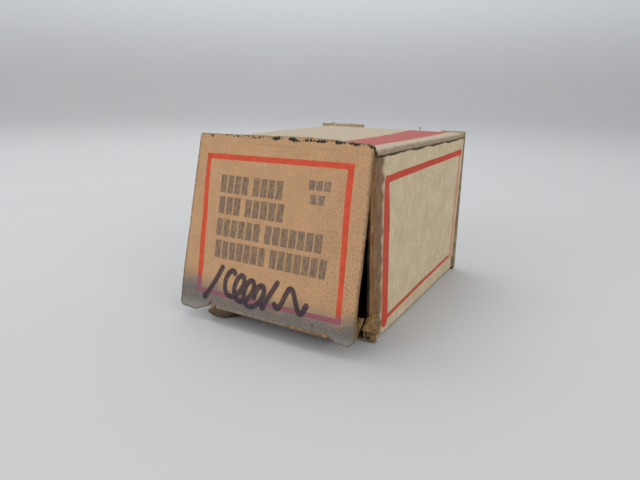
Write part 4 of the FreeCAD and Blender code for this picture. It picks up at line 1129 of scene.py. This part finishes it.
def make_rear_roll(side):
    """The crease between a side panel and its rear dust flap."""
    low, high = box_mm(f"rear_dust_flap_{side}")
    root = pivot(f"rear_dust_{side}_crease")
    sign = OUTWARD[side]
    panel_x = SIDE_X[side] + 0.01 * sign

    def section(z):
        points = [np.array([panel_x - 0.02 * sign, REAR - 1.0, z])]
        for t in np.linspace(0, 1, 8):
            angle = math.pi / 2 * t
            points.append(np.array([panel_x - sign * 0.75 * (1 - math.cos(angle)),
                                    REAR - 0.25 + 0.32 * math.sin(angle), z]))
        points.append(np.array([root[0] - sign * 0.5, REAR + 0.06, z]))
        return np.array(points)[::sign]

    spans = stations((max(low[2], 1.0), high[2] - 0.1, 0.6))
    piece = skin(f"rear_roll_{side}", sweep(section, spans), spans,
                 [REAR_EDGE, INNER_BOARD_AND_GAP_SHADE, DARK_EDGE], 0.1)
    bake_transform(piece)


def make_rear_crease():
    """The crease under the rear closure."""
    root = pivot("rear_closure_crease")
    low, high = box_mm("rear_closure_panel")
    spans = stations((low[0] + 0.3, high[0] - 0.3, 0.8))

    def section(x):
        points = [np.array([x, REAR - 0.8, 0.03])]
        for t in np.linspace(0, 1, 7):
            angle = -math.pi / 2 + math.pi / 2 * t
            points.append(np.array([x, root[1] + 0.24 * math.cos(angle),
                                    root[2] + 0.24 * math.sin(angle)]))
        points.append(np.array([x, root[1] + 0.24, root[2] + 0.6]))
        return np.array(points)

    piece = skin("rear_crease_skin", sweep(section, spans), spans,
                 [REAR_EDGE, INNER_BOARD_AND_GAP_SHADE, DARK_EDGE], 0.1)
    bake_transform(piece)


# ---- torn bits ----
def flakes(name, items, finish, body, thickness=0.12):
    """Torn tapering scraps in one piece. Each has a root, the way it runs, the way it is wide,
    its length, root width, tip width, curl and a seed."""
    points, faces, places = [], [], []
    rows, columns = 9, 5
    count = rows * columns
    for root, along, across, length, wide, tip, curl, seed in items:
        root, along, across = (np.array(v, float) for v in (root, along, across))
        along = along / np.linalg.norm(along)
        across = across / np.linalg.norm(across)
        out = np.cross(along, across)
        t = np.linspace(0, 1, rows)[:, None]
        s = np.linspace(-0.5, 0.5, columns)[None, :]
        width = (wide + (tip - wide) * t) * (1 + 0.22 * wander(t * length, 1.1, seed))
        rough = 0.10 * wide * wander(t * length + s * 3, 0.8, seed + 1)
        bend = curl * t ** 2 + 0.35 * curl * np.cos(math.pi * s) + rough
        grid = (root + (t * length)[..., None] * along + (width * s)[..., None] * across
                + bend[..., None] * out)
        normal = surface_normals(grid)
        first = len(points) * count
        points.append(grid.reshape(-1, 3))
        points.append((grid - normal * thickness).reshape(-1, 3))
        faces += [grid_quads(rows, columns, first), grid_quads(rows, columns, first + count, True),
                  rim_quads(rows, columns, count, first)]
        places += [grid.reshape(-1, 3) + seed] * 2
    faces = np.concatenate(faces)
    piece = mesh_object(name, np.concatenate(points), faces, [finish], [0] * len(faces),
                        {"board": np.concatenate(places)})
    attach(piece, body)


def on_closure(x, depth, height):
    """A point by the printed end: across, down from its crease and out from its middle."""
    return CLOSURE_ROOT + X * x + CLOSURE_DOWN * depth + CLOSURE_OUT * height


def make_torn_edges():
    """Tan fibres torn loose along the closure's lower edge and in its notch."""
    random = np.random.default_rng(7)
    items = []
    for n in range(26):
        x = 7.5 + 10.8 * (n + random.uniform(-0.4, 0.4)) / 25
        side = random.uniform(-0.5, 0.5)
        items.append((on_closure(x, FOLD_DEPTH - 0.35, 0.22),
                      CLOSURE_DOWN + CLOSURE_OUT * random.uniform(-0.1, 0.35) + X * side,
                      X, random.uniform(0.3, 0.65), random.uniform(0.45, 0.9), 0.15,
                      random.uniform(-0.1, 0.15), 100 + n))
    items.append((on_closure(-16.7, FOLD_DEPTH - 1.4, 0.0), CLOSURE_DOWN + X * 0.15, X,
                  2.0, 1.3, 0.5, -0.35, 140))
    flakes("closure_torn_fibres", items, TORN_BOARD, "front_closure")


def make_crushed_corner():
    """The sleeve's lower right front corner, crushed to a frayed lip round a dark hollow."""
    lip = FRONT - 0.25
    items = [
        ((24.6, FRONT + 1.4, 7.0), (-0.06, -0.12, -1), (0.7, 1, 0), 4.2, 1.8, 2.6, -0.2, 150),
        ((23.9, lip, 6.4), (-0.12, -0.05, -1), (1, 0.4, 0), 3.6, 1.0, 2.4, 0.2, 153),
        ((22.6, lip - 0.4, 3.2), (1, 0.45, -0.34), (0, -0.5, 1), 3.4, 0.6, 1.1, 0.2, 156),
        ((21.9, lip - 0.3, 0.5), (1, 0.16, 0.05), (0, -0.9, 0.5), 4.0, 1.1, 1.2, 0.15, 159),
        ((25.0, FRONT + 0.9, 2.9), (-0.1, -0.35, -1), (1, 0.5, -0.2), 2.6, 1.2, 1.5, -0.2, 162),
        ((22.6, lip + 0.3, 3.4), (0.0, 0.1, -1), (0.6, 1, 0), 3.0, 0.9, 1.0, 0.1, 165),
    ]
    flakes("crushed_corner", items, CRUSHED_BOARD, "carton_sleeve", 0.2)
    items = [((22.1, FRONT - 0.9, 6.1), (-0.30, -0.05, -1), (1, 0.35, 0), 6.0, 1.4, 1.2, 0.35, 170)]
    flakes("curled_scrap", items, SCRAP_BOARD, "carton_sleeve", 0.25)


def make_rear_fibre():
    """A dark fibre standing up from the top panel's rear edge."""
    top = box_mm("rear_closure_panel")[1][2]
    items = [((11.4, REAR - 0.4, TOP - 0.05), (0.25, 0, 1), X, top - TOP - 0.05, 0.28, 0.12,
              0.08, 180)]
    flakes("rear_fibre", items, DARK_EDGE, "carton_sleeve", 0.1)


# ---- the switch keeps its CAD shapes ----
def finish_switch():
    """Gives every CAD node that stays in view its detailed finish."""
    for part in frame["record"]["subparts"]:
        finish = SWITCH_FINISHES.get(part["material_slot"])
        if finish is not None:
            mesh = frame["nodes"][part["node"]].data
            mesh.materials.clear()
            mesh.materials.append(finish)


# ---- studio ----
FLAT_R = 0.9              # the flat floor's radius, in metres
BOWL_R = 1.0              # the curve it rises in
BOWL_DEG = 84
LIGHTS = [                # name, place, target, size, power, colour
    ("overhead", (-0.35, 0.15, 0.9), (0, 0, 0), 0.7, 3.4, (1, 1, 1)),
    ("front", (-0.35, -0.78, 0.36), (0, 0, 0.01), 0.6, 2.7, (1, 0.985, 0.96)),
    ("backdrop", (-0.3, 0.5, 1.0), (-1.3, 1.3, 0.3), 0.8, 4.2, (1, 1, 1)),
    ("side", (0.8, -0.30, 0.4), (0, 0, 0.02), 0.6, 2.2, (1, 0.98, 0.94)),
]
SKY = (0.95, 0.975, 1.0, 1.0)
SKY_STRENGTH = 0.80
CAMERA_PLACE = (0.07042, -0.13607, 0.05908)
CAMERA_DEG = (73.61, -0.39, 30.21)
LENS_MM = 28.97


def studio_floor():
    """A pale floor that curves up far from the object, as a wide bowl with an open top."""
    g = Graph("studio_floor")
    place = g.node("TexCoord").outputs["Object"]
    cloudy = g.ease(g.noise(place, 3.0, 3.0), 0.3, 0.7)
    height = g.node("SeparateXYZ")
    g.put(height.inputs[0], place)
    rise = g.ease(height.outputs[2], 0.02, 0.45)
    colour = g.mix(cloudy, linear(FLOOR), shade(FLOOR, 0.985))
    # Painted shade: the floor darkens away from the object, as if the light fell off there.
    far = g.node("VectorMath", operation="LENGTH")
    g.put(far.inputs[0], place)
    colour = g.mix(g.ease(far.outputs["Value"], 0.15, 0.8), colour, shade(FLOOR, 0.90))
    colour = g.mix(rise, colour, linear(BACKDROP))
    g.bump(g.noise(place, 900.0, 3.0), 0.05, 0.0001)
    material = g.finish(colour, g.ease(cloudy, 0, 1, 0.62, 0.7))
    section = [(radius, 0.0) for radius in (0.0, 0.1, 0.3, 0.6, FLAT_R)]
    for t in np.linspace(0.05, 1, 24):
        angle = math.radians(BOWL_DEG) * t
        section.append((FLAT_R + BOWL_R * math.sin(angle), BOWL_R * (1 - math.cos(angle))))
    turns = 96
    points, faces = [], []
    for radius, height in section:
        for n in range(turns):
            angle = 2 * math.pi * n / turns
            points.append((radius * math.cos(angle), radius * math.sin(angle), height))
    for ring in range(len(section) - 1):
        for n in range(turns):
            a, b = ring * turns + n, ring * turns + (n + 1) % turns
            faces.append((a, b, b + turns, a + turns))
    mesh = bpy.data.meshes.new("studio_floor")
    mesh.from_pydata(points, [], faces)
    mesh.materials.append(material)
    mesh.polygons.foreach_set("use_smooth", [True] * len(faces))
    floor = bpy.data.objects.new("studio_floor", mesh)
    bpy.context.scene.collection.objects.link(floor)


def area_light(name, place, target, size, power, colour):
    """A soft square light, aimed at a point; places in metres."""
    light = bpy.data.lights.new(name, "AREA")
    light.size = size
    light.energy = power
    light.color = colour
    lamp = bpy.data.objects.new(name, light)
    lamp.location = place
    lamp.rotation_euler = (Vector(target) - Vector(place)).to_track_quat("-Z", "Y").to_euler()
    bpy.context.scene.collection.objects.link(lamp)


def studio():
    """Even, soft light from above, a little stronger from the front left."""
    studio_floor()
    world = bpy.data.worlds.new("studio")
    bpy.context.scene.world = world
    world.use_nodes = True
    sky = world.node_tree.nodes["Background"]
    sky.inputs["Color"].default_value = SKY
    sky.inputs["Strength"].default_value = SKY_STRENGTH
    for light in LIGHTS:
        area_light(*light)


def camera():
    """The view from the front right, just above the carton."""
    data = bpy.data.cameras.new("camera")
    data.sensor_width = 36.0
    data.lens = LENS_MM
    data.clip_start = 0.01
    view = bpy.data.objects.new("camera", data)
    view.location = CAMERA_PLACE
    view.rotation_euler = [math.radians(angle) for angle in CAMERA_DEG]
    bpy.context.scene.collection.objects.link(view)
    bpy.context.scene.camera = view


camera()
studio()
bpy.context.scene.view_settings.view_transform = "Standard"
make_sleeve()
make_closure()
make_front_tuck()
make_front_crease()
make_tuck_crease()
for flap_side in ("left", "right"):
    make_dust_flap("front", flap_side)
    make_dust_flap("rear", flap_side)
    make_roll(flap_side)
    make_rear_roll(flap_side)
make_rear()
make_rear_crease()
make_torn_edges()
make_crushed_corner()
make_rear_fibre()
finish_switch()
